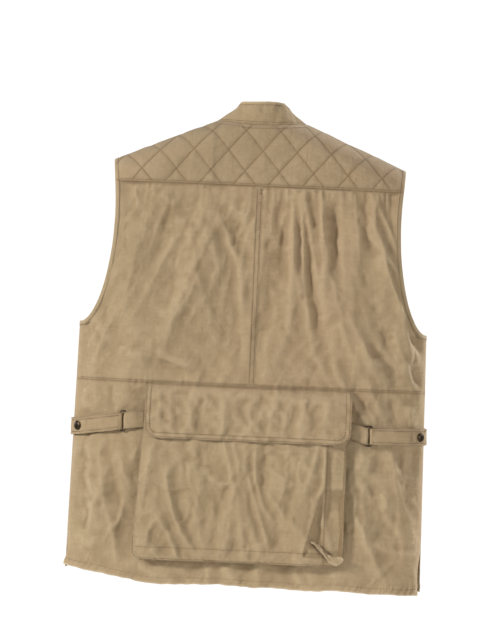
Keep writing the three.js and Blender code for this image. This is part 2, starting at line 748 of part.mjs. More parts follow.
const brass = material(zipColour, 0.4, 0.9);
for (const [hand, sign] of SIDES) {
  add(`front_placket_${hand}`, placket(sign), cotton.clone());
  add(`zip_tape_${hand}`, zipTape(sign), material(tapeColour));
  add(`zip_teeth_${hand}`, zipTeeth(sign), brass.clone());
  const stopHeight = 3;
  const stop = zipEnd(zipTeethInner, zipTeethDepth, zipTopZ + gap, zipTopZ + gap + stopHeight, sign);
  add(`zip_top_stop_${hand}`, stop, brass.clone());
}
const boxReach = -0.5;
add('zip_box', zipEnd(boxReach, 4, hemZ, zipFootZ - gap, 1), brass.clone());
add('zip_pin', zipEnd(zipTeethInner, zipTeethDepth, hemZ, zipFootZ - gap, -1), brass.clone());
const slider = new THREE.Group();
slider.position.set(sliderX, 0, -sliderDrop);
vest.add(slider);
add('zip_slider', zipSlider().translate(0, zipY, 0), brass.clone(), slider);
add('zip_pull', zipPull().translate(0, crownY, 0), brass.clone(), slider);

export default vest;
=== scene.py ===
"""Fishing vest hung from its shoulders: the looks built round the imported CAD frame.

Lengths are millimetres until a mesh is made. +Z is up, the back faces +Y and the wearer's left is +X.
"""
import math

import bmesh
import bpy
import numpy as np
from mathutils import Euler, Matrix, Vector


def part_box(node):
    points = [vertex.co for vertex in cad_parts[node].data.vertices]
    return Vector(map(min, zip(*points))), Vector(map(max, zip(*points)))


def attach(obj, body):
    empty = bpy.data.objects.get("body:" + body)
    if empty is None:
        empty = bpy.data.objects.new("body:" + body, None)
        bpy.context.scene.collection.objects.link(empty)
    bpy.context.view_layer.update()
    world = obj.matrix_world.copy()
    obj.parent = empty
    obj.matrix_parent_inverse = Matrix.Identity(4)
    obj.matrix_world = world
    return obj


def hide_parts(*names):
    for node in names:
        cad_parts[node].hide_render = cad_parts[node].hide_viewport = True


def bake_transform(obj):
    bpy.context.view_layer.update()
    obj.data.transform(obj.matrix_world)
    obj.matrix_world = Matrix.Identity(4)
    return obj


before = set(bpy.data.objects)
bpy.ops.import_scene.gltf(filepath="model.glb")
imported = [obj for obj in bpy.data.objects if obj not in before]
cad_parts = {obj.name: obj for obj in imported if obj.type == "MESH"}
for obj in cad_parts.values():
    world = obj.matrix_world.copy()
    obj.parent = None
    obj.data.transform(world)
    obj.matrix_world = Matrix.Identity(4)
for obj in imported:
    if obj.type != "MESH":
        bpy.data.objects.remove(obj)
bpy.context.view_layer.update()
MM = 0.001


# ---------- sizes ----------
BACK = 1
FRONT = -1
SIDES = (("left", 1), ("right", -1))
GAP = 0.5                       # clearance between neighbouring pieces of the CAD part
SEAT = 0.6                      # how far the edge of a sewn-on patch stands off the cloth under it
CLOTH = 1.9
QUILT_CLOTH = 3.2
STRAP_CLOTH = 1.5


def low(node):
    return np.array(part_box(node)[0]) / MM


def high(node):
    return np.array(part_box(node)[1]) / MM


NECK_HALF = 75
SHOULDER_HALF = high("front_yoke_left")[0]
SHOULDER_SLOPE = 0.42
SHOULDER_ROUND = 45
CHEST_HALF = high("back_panel_left")[0]
HEM_HALF = high("lower_back_panel")[0]
BACK_DEPTH = high("lower_back_panel")[1] - GAP
FRONT_DEPTH = -low("front_panel_left")[1] - GAP + 0.2
SIDE_POWER = 4.2                # roundness of the body's section: 2 is an ellipse, more is boxier
ARMHOLE_INSET = 7
ARMHOLE_WAIST_Z = -160
ARMHOLE_POWER = 1.8
PIT_Z = -336
BACK_NECK_DIP = 7
FRONT_NECK_DROP = 85
BACK_YOKE_Z = high("back_panel_left")[2] + GAP / 2
FRONT_YOKE_Z = high("front_panel_left")[2] + GAP / 2
WAIST_Z = high("lower_back_panel")[2] + GAP / 2
HEM_Z = low("lower_back_panel")[2]
TAB_Z = WAIST_Z - 69
FOLD_X = 58.25                  # the front edge is turned back as far as this
EDGE_X = 14                     # half the opening between the front edges
EDGE_HINGE = (73, 44)           # the front edge bends between these, from the middle
BACK_FLAP_HEIGHT = 87
POCKET_SHARE = 0.25             # part of the body's folds that the back pocket keeps
PATCH_SHARE = 0.3               # part of them that a front pocket keeps
ON_TOP = 0.12                   # height of a stitch line's middle over its cloth
FOLD_GAIN = 1.9                 # the long folds stand this many times their listed heights
GENTLEST = 1.5                  # least half width of a fold, for each mm of its height
STEEP, EASY = 0.5, 1.6          # a fold's two half widths, as shares of its listed one
# How far from an edge its darkening fades: seam dirt with painted shade.
DIRT_AND_SHADE_REACH = 1.6
RIDGE = 0.9                     # mm proud of its surroundings at which crests are palest, worn and with a painted highlight; hollows this deep get full painted shade


# ---------- numbers ----------
def clamp(t):
    return np.clip(t, 0.0, 1.0)


def smooth(t):
    t = clamp(t)
    return t * t * (3 - 2 * t)


def mix(a, b, t):
    return a + (b - a) * t


def bell(distance, width):
    return np.exp(-((distance / width) ** 2))


def unit(vectors):
    return vectors / np.maximum(np.linalg.norm(vectors, axis=-1, keepdims=True), 1e-9)


def ripple(along, pitch):
    return np.sin(2 * math.pi * along / pitch)


def places(x, z):
    """Both as arrays of one shape."""
    return np.broadcast_arrays(np.asarray(x, float), np.asarray(z, float))


def waves(a, b, length, seed, count=9):
    """A smooth random field, mostly between -1 and 1, with features about length across."""
    draw = np.random.default_rng(seed)
    total = 0.0
    for _ in range(count):
        angle = draw.uniform(0, math.pi)
        phase = draw.uniform(0, 2 * math.pi)
        pitch = length * draw.uniform(0.7, 1.5)
        along = a * math.cos(angle) + b * math.sin(angle)
        total = total + np.sin(2 * math.pi * along / pitch + phase)
    return total * math.sqrt(2 / count) * 0.7


def crumple(a, b, length, seed):
    """Random ridges with narrow crests, mostly between 0 and 1."""
    bent = waves(a, b, length * 1.7, seed + 50) * length * 0.3
    return 1 - np.sqrt(waves(a + bent, b - bent, length, seed) ** 2 + 0.01)


def crease(x, z, fold, gain=1.0):
    """A ridge, or a hollow where its height is negative, that fades at both ends."""
    x0, z0, x1, z1, width, height = fold
    height = height * gain
    length = math.hypot(x1 - x0, z1 - z0)
    ux, uz = (x1 - x0) / length, (z1 - z0) / length
    along = ((x - x0) * ux + (z - z0) * uz) / length
    bow = 0.03 * length * np.sin(math.pi * clamp(along) * 1.3)
    beside = (x - x0) * uz - (z - z0) * ux + bow
    taper = smooth((along + 0.12) / 0.3) * smooth((1.15 - along) / 0.45)
    reach = np.where(beside > 0, width * STEEP, width * EASY) * mix(0.75, 1.25, clamp(along))
    reach = np.maximum(reach, abs(height) * GENTLEST)
    return height * np.exp(0.2 - np.sqrt((beside / reach) ** 2 + 0.04)) * taper


def creases(x, z, folds, gain=1.0):
    """All the folds at a place. The cloth is warped a little, so none runs quite straight."""
    warped_x = x + 2.2 * waves(x, z, 48, 7) + 0.8 * waves(x, z, 17, 8)
    warped_z = z + 2.2 * waves(x, z, 52, 9)
    return sum(crease(warped_x, warped_z, fold, gain) for fold in folds)


def scattered(seed, count, x_range, z_range, height=(0.6, 1.8)):
    """Short random wrinkles, ridges and hollows alike, most of them near upright."""
    draw = np.random.default_rng(seed)
    folds = []
    for _ in range(count):
        x, z = draw.uniform(*x_range), draw.uniform(*z_range)
        angle, reach = draw.normal(-math.pi / 2, 0.6), draw.uniform(16, 60)
        tall = draw.uniform(*height) * draw.choice([1.0, -1.0])
        x1, z1 = x + reach * math.cos(angle), z + reach * math.sin(angle)
        folds.append((x, z, x1, z1, draw.uniform(2.5, 6), tall))
    return folds


# ---------- the body's surface, as the CAD part draws it ----------
def ridge_z(x):
    across = np.abs(x)
    crown = 0.5 * SHOULDER_SLOPE * NECK_HALF * (1 - (across / NECK_HALF) ** 2)
    return np.where(across >= NECK_HALF, -(across - NECK_HALF) * SHOULDER_SLOPE, crown)


TIP_Z = float(ridge_z(SHOULDER_HALF))


def body_half(z):
    return CHEST_HALF + (HEM_HALF - CHEST_HALF) * clamp((PIT_Z - z) / (PIT_Z - HEM_Z))


def armhole_half(z):
    narrow = SHOULDER_HALF - ARMHOLE_INSET
    up = clamp((z - ARMHOLE_WAIST_Z) / (TIP_Z - ARMHOLE_WAIST_Z))
    down = clamp((ARMHOLE_WAIST_Z - z) / (ARMHOLE_WAIST_Z - PIT_Z))
    lower = (CHEST_HALF - narrow) * (1 - np.sqrt(1 - down ** ARMHOLE_POWER))
    return narrow + ARMHOLE_INSET * up ** 2 + lower


def edge_half(z):
    return np.where(z > PIT_Z, armhole_half(z), body_half(z))


def back_neck_z(x):
    return -BACK_NECK_DIP * (1 - (x / NECK_HALF) ** 2)


def front_neck_z(x):
    return -FRONT_NECK_DROP * np.sqrt(np.maximum(0, 1 - (x / NECK_HALF) ** 2))


def top_z(side, x):
    neck = back_neck_z(x) if side == BACK else front_neck_z(x)
    return np.where(np.abs(x) >= NECK_HALF, ridge_z(x), neck)


def yoke_seam(side):
    """The height of the seam under a side's yoke."""
    return BACK_YOKE_Z if side == BACK else FRONT_YOKE_Z


def turned(side, turn, z):
    """The point at an angle round the body's section: 0 is its middle and pi / 2 its left side."""
    x = body_half(z) * np.sin(turn)
    across = np.sqrt(np.maximum(0, 1 - np.abs(np.sin(turn)) ** SIDE_POWER)) * np.sign(np.cos(turn))
    rolled = clamp((ridge_z(x) - z) / SHOULDER_ROUND)
    full = BACK_DEPTH if side == BACK else FRONT_DEPTH
    depth = full * across * np.sqrt(1 - (1 - rolled) ** 2)
    return np.stack([x, side * (GAP + depth), z], axis=-1)


def skin(side, x, z):
    """Points on the body's outer surface and the normals there."""
    x, z = places(x, z)
    turn = np.arcsin(np.clip(x / body_half(z), -1, 1))
    across = turned(side, turn + 0.002, z) - turned(side, turn - 0.002, z)
    down = turned(side, turn, z - 0.05) - turned(side, turn, z + 0.01)
    return turned(side, turn, z), unit(side * np.cross(across, down))


# ---------- folds in the cloth: x, z, x, z, half width, height ----------
UPPER_BACK_FOLDS = [
    (-100, -128, -117, -225, 5, 3.2), (-117, -215, -140, -310, 11, 2.6),
    (-53, -150, -92, -350, 11, 3.4), (-34, -122, -50, -250, 10, -3.2),
    (-124, -128, -134, -250, 9, -2.6), (-153, -108, -167, -205, 7, 2.4),
    (-185, -108, -214, -250, 9, 2.6), (-170, -108, -190, -230, 7, -2.2),
    (-72, -110, -78, -165, 6, 2.2), (-84, -200, -112, -370, 10, -2.6),
    (-223, -335, -262, -400, 6, 2.6), (-201, -372, -220, -415, 5, 2.2),
    (-176, -350, -209, -385, 5, 2.0), (-138, -314, -170, -392, 7, 1.9),
    (-205, -330, -245, -400, 6, -2.4), (-150, -300, -205, -400, 12, 2.0),
    (61, -165, 158, -400, 15, 3.0), (95, -118, 142, -300, 19, -3.4),
    (50, -190, 18, -232, 4, 1.8), (28, -130, 26, -390, 13, -2.6),
    (212, -372, 165, -391, 4, 2.4), (153, -381, 82, -399, 3.6, 3.0),
    (150, -391, 95, -407, 6, -1.8), (155, -120, 128, -141, 4, 2.2),
    (168, -150, 215, -330, 20, 2.6), (133, -165, 112, -160, 4, 1.2),
    (110, -150, 60, -360, 10, 1.4), (200, -115, 190, -150, 5, 1.8),
    (-259, -336, -266, -385, 3, -2.2), (-266, -385, -270, -425, 3, -2.0),
]
LOWER_BACK_FOLDS = [
    (253, -515, 240, -660, 5, 3.2), (262, -520, 254, -690, 7, -2.8),
    (237, -525, 204, -720, 9, 3.0), (224, -530, 196, -640, 9, -2.4),
    (215, -666, 192, -622, 3.5, 1.8), (256, -696, 233, -679, 4, 2.4),
    (205, -540, 184, -600, 7, 2.0), (262, -440, 258, -480, 6, 1.8),
    (225, -435, 222, -475, 7, -1.4), (-256, -447, -275, -508, 5, 3.2),
    (-165, -560, -196, -680, 10, 2.4), (-184, -635, -226, -735, 11, 3.0),
    (-231, -518, -247, -590, 5, 2.6), (-246, -520, -262, -600, 6, -2.2),
    (-218, -590, -229, -618, 5, 2.0), (-209, -670, -268, -690, 6, 2.2),
    (-78, -712, -93, -740, 5, 2.0), (30, -712, 5, -742, 5, 1.8),
    (-205, -520, -190, -560, 6, 1.8), (-240, -620, -250, -700, 9, -2.4),
    (-200, -590, -240, -660, 8, -1.8), (170, -720, 130, -735, 5, 1.6),
    (-190, -440, -200, -478, 6, 1.6), (-228, -440, -236, -480, 5, -1.6),
]
FRONT_FOLDS = [
    (95, -160, 120, -174, 6, 1.6), (215, -150, 232, -300, 9, 2.4), (205, -330, 255, -440, 8, 2.4),
    (150, -440, 200, -470, 6, 1.8), (248, -480, 252, -640, 8, 2.6), (262, -520, 260, -700, 8, -2.2),
    (68, -340, 72, -470, 5, 1.8), (120, -345, 190, -470, 10, 2.2), (170, -340, 250, -400, 8, -2.0),
    (90, -350, 96, -460, 8, -1.8), (75, -715, 130, -730, 5, 1.6), (225, -720, 268, -600, 8, 1.8),
]
POCKET_FOLDS = [
    (100, -556, 74, -551, 4, 1.8), (59, -573, 19, -583, 4, 2.6), (62, -560, 58, -580, 4, 1.8),
    (24, -572, 55, -700, 8, -3.0), (14, -580, 30, -690, 9, 2.4), (89, -625, 75, -702, 7, -2.2),
    (-34, -588, -86, -655, 6, 2.4), (171, -582, 150, -566, 4, 2.2), (-47, -620, -59, -680, 7, -2.2),
    (146, -513, 160, -570, 7, 1.8), (-3, -537, -45, -522, 5, 1.8), (-27, -517, -34, -570, 6, -1.8),
    (100, -510, 96, -560, 6, -1.8), (86, -512, 84, -545, 6, 1.8), (125, -560, 110, -660, 12, 2.0),
    (-66, -520, -60, -600, 9, 1.6), (-95, -560, -60, -640, 8, -1.8), (-122, -578, -99, -666, 3.6, 3.4),
    (-118, -566, -112, -600, 6, -1.6), (-80, -690, -92, -707, 5, 1.8), (140, -640, 165, -700, 8, 1.4),
]
FLAP_FOLDS = [
    (76, -446, 79, -506, 6, -2.0), (92, -440, 94, -508, 9, 1.8), (-15, -436, -23, -505, 6, -2.2),
    (-2, -440, -4, -505, 8, 1.6), (-74, -458, -65, -506, 6, -1.8), (-88, -440, -84, -500, 8, 1.6),
    (141, -434, 143, -500, 7, 1.4), (120, -450, 112, -500, 8, -1.4), (-130, -440, -120, -470, 5, 1.8),
    (40, -445, 44, -508, 9, 1.3), (-45, -445, -42, -508, 9, 1.2),
]
BACK_WRINKLES = scattered(1, 110, (-285, 285), (-745, -115))
FRONT_WRINKLES = scattered(2, 90, (-285, 285), (-745, -160))
POCKET_WRINKLES = scattered(3, 60, (-155, 175), (-705, -500), height=(0.6, 2.0))
FLAP_WRINKLES = scattered(4, 16, (-155, 160), (-512, -440))


def pleated(along, pitch, shift):
    """A wave from -1 to 1, with soft hollows and sharper crests."""
    phase = 2 * math.pi * along / pitch + shift
    return 1 - 2 * np.sqrt(np.sin(phase / 2) ** 2 + 0.015)


def gathers(side, x, z):
    """Small pleats under the yoke, deepest on the wearer's right, that run into longer folds."""
    drop = np.maximum(yoke_seam(side) - z, 0)
    fan = x * (1 - 0.0006 * drop)
    drift = waves(fan, 0 * fan, 60, 11) * 5
    right = smooth((30 - x) / 60) if side == BACK else 0.35
    fine = ripple(fan + drift, 12.5) * np.exp(-drop / 20)
    middle = pleated(fan + 2 * drift, 23, 1.0) * np.exp(-drop / 65)
    patchy = 0.65 + 0.35 * waves(x, 0 * x, 45, 12)
    return smooth(drop / 3) * patchy * (mix(0.6, 1.4, right) * fine + mix(0.4, 0.8, right) * middle)


def waist_pucker(x, z):
    """The pull of the waist seam's stitches on the cloth beside it."""
    drift = waves(x, 0 * x, 40, 61) * 3
    pull = ripple(x + drift, 11) * (0.6 + 0.4 * waves(x, 0 * x, 50, 62))
    return 0.75 * pull * np.exp(-np.abs(z - WAIST_Z) / 9)


def draped(side, x, z, size, seed):
    """Creases that hang from the yoke and spread on their way down, from about -0.5 to 0.5."""
    drop = np.maximum(yoke_seam(side) - z, 0)
    fan = x / (1 + 0.0025 * drop)
    return crumple(fan, z * 0.3, size, seed) - 0.5


def unevenness(side, x, z):
    """Slow swells and the fine ones of washed cloth."""
    soft = 2.4 * waves(x, z * 0.6, 150, 21 + side) + 1.2 * waves(x, z * 0.7, 62, 31 + side)
    fine = 0.6 * waves(x, z, 24, 41 + side) * (0.5 + 0.5 * waves(x, z, 110, 44))
    return soft + fine


def long_folds(x, z):
    """Folds that fan out over the upper back's right half."""
    drop = BACK_YOKE_Z - z
    fan = x * (1 - 0.0005 * drop) + 4 * waves(x, z, 90, 13)
    folds = pleated(fan, 31, 0.6) * (0.6 + 0.4 * waves(x, z, 80, 14))
    fade = smooth(drop / 40) * smooth((z + 420) / 240) * smooth((-20 - x) / 60)
    return 1.1 * folds * fade


def armpit_drag(x, z):
    """Slanting pulls below the right armhole."""
    return 2.2 * bell(z + 375, 45) * smooth((-150 - x) / 60) * ripple(x * 0.6 - z * 0.45, 26)


def back_relief(x, z):
    drop = BACK_YOKE_Z - z
    below = smooth(drop / 4)
    upper = smooth((z - WAIST_Z) / 18) * smooth((drop + 2) / 9)
    lower = smooth((WAIST_Z - z) / 16)
    folds = upper * creases(x, z, UPPER_BACK_FOLDS, FOLD_GAIN)
    folds = folds + lower * creases(x, z, LOWER_BACK_FOLDS, FOLD_GAIN)
    folds = folds + creases(x, z, BACK_WRINKLES) * smooth(drop / 20)
    hanging = 4.2 * draped(BACK, x, z, 74, 141) + 0.9 * draped(BACK, x, z, 27, 142)
    folds = folds + smooth(drop / 60) * hanging + long_folds(x, z) + armpit_drag(x, z)
    return folds + below * (unevenness(BACK, x, z) + gathers(BACK, x, z))


def front_relief(x, z):
    drop = FRONT_YOKE_Z - z
    folds = creases(np.abs(x), z, FRONT_FOLDS, FOLD_GAIN) * (1 + 0.2 * np.sign(x))
    folds = folds + creases(x, z, FRONT_WRINKLES)
    folds = folds + 2.8 * draped(FRONT, x, z, 74, 143) + 0.8 * draped(FRONT, x, z, 27, 144)
    even = smooth((np.abs(x) - EDGE_X) / 40)
    below = smooth(drop / 4) * unevenness(FRONT, x, z)
    return even * (below + smooth(drop / 40) * folds + 0.8 * gathers(FRONT, x, z))


def relief(side, x, z):
    """How far the cloth stands off the body's plain surface."""
    x, z = places(x, z)
    inside = smooth((edge_half(z) - np.abs(x)) / 16)
    if side == FRONT:
        return inside * front_relief(x, z)
    strapped = bell(z - TAB_Z, 22) * smooth((np.abs(x) - 150) / 20)
    return inside * (1 - 0.7 * strapped) * back_relief(x, z) + waist_pucker(x, z)


def raised(side, x, z, offset=0.0, share=1.0):
    """A point that stands offset off the cloth, which keeps a share of its folds."""
    point, normal = skin(side, x, z)
    lift = offset + (relief(side, x, z) * share if np.any(share) else 0)
    return point + normal * np.asarray(lift)[..., None]


# ---------- meshes ----------
RIM_STATIONS = np.array([0, 0.5, 1.1, 1.8, 2.6])


def spaced(start, end, step, border=8):
    """Places from start to end: close together near both ends, step apart between them."""
    sign = 1 if end > start else -1
    length = abs(end - start)
    border = min(border, length / 3)
    near = RIM_STATIONS[RIM_STATIONS < border]
    if border > 4:
        near = np.concatenate([near, np.arange(RIM_STATIONS[-1] + 1, border)])
    count = max(2, round((length - 2 * border) / step))
    middle = np.linspace(border, length - border, count + 1)
    return start + sign * np.concatenate([near, middle, length - near[::-1]])


def grid_normals(points, hint):
    across = np.gradient(points, axis=1)
    down = np.gradient(points, axis=0)
    normal = unit(np.cross(across, down))
    facing = 1 if np.sum(normal * hint) > 0 else -1
    return normal * facing, facing


def arc(points, axis):
    """How far along its row or column of a grid each point is."""
    steps = np.linalg.norm(np.diff(points, axis=axis), axis=-1)
    pad = [(0, 0), (0, 0)]
    pad[axis] = (1, 0)
    return np.pad(np.cumsum(steps, axis=axis), pad)


def distances(path):
    """How far along a path each of its points is."""
    return np.concatenate([[0], np.cumsum(np.linalg.norm(np.diff(path, axis=0), axis=1))])


def new_mesh(name, points, faces):
    mesh = bpy.data.meshes.new(name)
    mesh.from_pydata((np.asarray(points) * MM).tolist(), [], faces)
    return mesh


def link(mesh, look):
    """An object of the mesh's name, shaded smooth."""
    made = bpy.data.objects.new(mesh.name, mesh)
    bpy.context.scene.collection.objects.link(made)
    mesh.materials.append(look)
    mesh.shade_smooth()
    return made


def write_numbers(mesh, name, kind, values):
    made = mesh.attributes.new(name, kind, "POINT")
    key = "vector" if kind == "FLOAT_VECTOR" else "value"
    made.data.foreach_set(key, np.asarray(values, np.float32).ravel())


def write_looks(mesh, cloth, pale, dirt_and_shade_weight):
    """What the cloth materials read: a place on the flat cloth in mm, wear with a painted highlight on crests,
    and seam dirt with painted shade.
    """
    write_numbers(mesh, "cloth", "FLOAT_VECTOR", cloth * MM)
    write_numbers(mesh, "worn", "FLOAT", pale)
    write_numbers(mesh, "dirt_and_shade", "FLOAT", dirt_and_shade_weight)


def turn_out(mesh):
    """Makes every face look outward."""
    work = bmesh.new()
    work.from_mesh(mesh)
    bmesh.ops.recalc_face_normals(work, faces=work.faces)
    work.to_mesh(mesh)
    work.free()


def smeared(points, reach=4):
    """Each point's mean over the cells around it."""
    cells = 2 * reach + 1
    for axis in (0, 1):
        edge = [(0, 0)] * 3
        edge[axis] = (reach, reach)
        padded = np.pad(points, edge, mode="reflect", reflect_type="odd")
        size = points.shape[axis]
        points = sum(np.take(padded, np.arange(k, k + size), axis) for k in range(cells)) / cells
    return points


def shell_parts(outer, normal, facing, thickness):
    """A closed sheet's points and faces, and which points lie round its outer edge."""
    rows, columns = outer.shape[:2]
    count = rows * columns
    ids = np.arange(count).reshape(rows, columns)
    rim = np.concatenate([ids[0, :], ids[1:, -1], ids[-1, -2::-1], ids[-2:0:-1, 0]])
    flat_outer = outer.reshape(-1, 3)
    flat_inner = (outer - normal * thickness).reshape(-1, 3)
    middle = (flat_outer[rim] + flat_inner[rim]) / 2
    along = unit(np.roll(middle, -1, 0) - np.roll(middle, 1, 0))
    away = unit(np.cross(along, normal.reshape(-1, 3)[rim])) * facing
    bulge = middle + away * thickness * 0.35
    a, b, c, d = ids[:-1, :-1], ids[:-1, 1:], ids[1:, 1:], ids[1:, :-1]
    front = np.stack([a, b, c, d], -1).reshape(-1, 4)
    rim_ids = 2 * count + np.arange(len(rim))
    following = np.roll(rim, -1)
    rim_next = np.roll(rim_ids, -1)
    upper = np.stack([rim, rim_ids, rim_next, following], -1)
    lower = np.stack([rim_ids, rim + count, following + count, rim_next], -1)
    faces = np.concatenate([front, front[:, ::-1] + count, upper, lower])
    if facing < 0:
        faces = faces[:, ::-1]
    return np.concatenate([flat_outer, flat_inner, bulge]), faces, rim


def shell(name, outer, hint, look, thickness=CLOTH, worn=(0, 0, 0, 0), dark=(0, 0, 0, 0), reach=3.0,
          painted_shade=0.0):
    """Closed cloth with a rounded rim, whose outer side looks the way hint does. worn and dark say how
    pale or dark its left, right, top and foot edges are: worn, or seam dirt with painted shade in the seam.
    Crests are paler, worn and with a painted highlight, and hollows darker with painted shade; the last
    argument is a mask of more painted shade."""
    normal, facing = grid_normals(outer, hint)
    points, faces, rim = shell_parts(outer, normal, facing, thickness)
    mesh = new_mesh(name, points, faces.tolist())
    u, v = arc(outer, 1), arc(outer, 0)
    depths = (u, u.max(1)[:, None] - u, v, v.max(0)[None, :] - v)
    pale = sum(weight * np.exp(-far / (reach * 0.6)) for weight, far in zip(worn, depths))
    dirt_and_shade_weight = sum(weight * np.exp(-far / DIRT_AND_SHADE_REACH) for weight, far in zip(dark, depths))
    dirt_and_shade_weight = np.maximum(dirt_and_shade_weight, painted_shade)
    # Crests are paler, worn and with a painted highlight, and hollows darker with painted shade, so the folds
    # read more sharply.
    if min(outer.shape[:2]) > 30:
        proud = np.sum((outer - smeared(outer)) * normal, axis=-1)
        pale = np.maximum(pale, 0.14 * clamp(proud / RIDGE))
        dirt_and_shade_weight = np.maximum(dirt_and_shade_weight, 0.3 * clamp(-proud / RIDGE))
    u = u - u[:, u.shape[1] // 2][:, None]
    cloth = np.stack([u, v, 0 * u], -1).reshape(-1, 3)
    pale, dirt_and_shade_weight = pale.ravel(), dirt_and_shade_weight.ravel()
    write_looks(mesh, np.concatenate([cloth, cloth, cloth[rim]]),
                np.concatenate([pale, 0 * pale, pale[rim]]), np.concatenate([dirt_and_shade_weight, dirt_and_shade_weight, dirt_and_shade_weight[rim]]))
    return link(mesh, look)


def sweep(name, centres, us, vs, section, look):
    """A closed section carried round a loop."""
    rows = centres[:, None] + us[:, None] * section[None, :, :1] + vs[:, None] * section[None, :, 1:]
    count, sides = rows.shape[:2]
    ids = np.arange(count * sides).reshape(count, sides)
    ids = np.concatenate([ids, ids[:1]])
    after = np.roll(ids, -1, axis=1)
    faces = np.stack([ids[:-1], after[:-1], after[1:], ids[1:]], -1).reshape(-1, 4).tolist()
    mesh = new_mesh(name, rows.reshape(-1, 3), faces)
    made = link(mesh, look)
    cloth = np.broadcast_arrays(distances(section)[None, :], distances(centres)[:, None], 0.0)
    outward = section[:, 0] - section[:, 0].min()
    pale = np.broadcast_to(0.35 * outward / outward.max(), (count, sides))
    write_looks(mesh, np.stack(cloth, -1).reshape(-1, 3), pale, 0 * pale)
    turn_out(mesh)
    return made


def outline(half_wide, half_tall, power=2.6, count=12):
    """A rounded flat section."""
    turn = np.linspace(0, 2 * math.pi, count, endpoint=False)
    c, s = np.cos(turn), np.sin(turn)
    round_x = half_wide * np.sign(c) * np.abs(c) ** (2 / power)
    round_y = half_tall * np.sign(s) * np.abs(s) ** (2 / power)
    return np.stack([round_x, round_y], -1)


# ---------- stitches ----------
STITCH_STATIONS = np.array([0.0, 0.18, 0.82, 1.0])      # shares of a stitch's length
STITCH_HEIGHTS = np.array([-0.25, 0.1, 0.1, -0.25])     # its ends dip into the cloth


def stitch_points(path, normals, far, start, length, radius):
    """One stitch: a point at each end, and a ring of four near each end."""
    at = start + STITCH_STATIONS * length
    middle = np.stack([np.interp(at, far, path[:, k]) for k in range(3)], -1)
    up = unit(np.array([np.interp(at[1], far, normals[:, k]) for k in range(3)]))
    beside = unit(np.cross(middle[-1] - middle[0], up))
    middle = middle + up * STITCH_HEIGHTS[:, None]
    ring = np.array([beside, up, -beside, -up]) * radius
    return [middle[0], *(middle[1] + ring), *(middle[2] + ring), middle[3]]


def stitch_faces(first):
    faces = []
    for k in range(4):
        n = (k + 1) % 4
        faces.append((first, first + 1 + n, first + 1 + k))
        faces.append((first + 1 + k, first + 1 + n, first + 5 + n, first + 5 + k))
        faces.append((first + 9, first + 5 + k, first + 5 + n))
    return faces


def stitch_rows(name, runs, look, length=3.0, pitch=4.9, radius=0.55):
    """Separate stitches that lie along runs of (points, normals)."""
    points, faces = [], []
    for path, normals in runs:
        far = distances(path)
        for start in np.arange(pitch * 0.4, far[-1] - length, pitch):
            faces += stitch_faces(len(points))
            points += stitch_points(path, normals, far, start, length, radius)
    mesh = new_mesh(name, points, faces)
    turn_out(mesh)
    return link(mesh, look)


def run_on(side, xs, zs, offset, share=1.0):
    """A run of stitches over the cloth at these places."""
    xs, zs = places(xs, zs)
    return raised(side, xs, zs, offset, share), skin(side, xs, zs)[1]


# ---------- materials ----------
def linear(red, green, blue):
    """The linear colour, with alpha, of an sRGB one from 0 to 255."""
    parts = [value / 255 for value in (red, green, blue)]
    return tuple(c / 12.92 if c <= 0.04045 else ((c + 0.055) / 1.055) ** 2.4 for c in parts) + (1.0,)


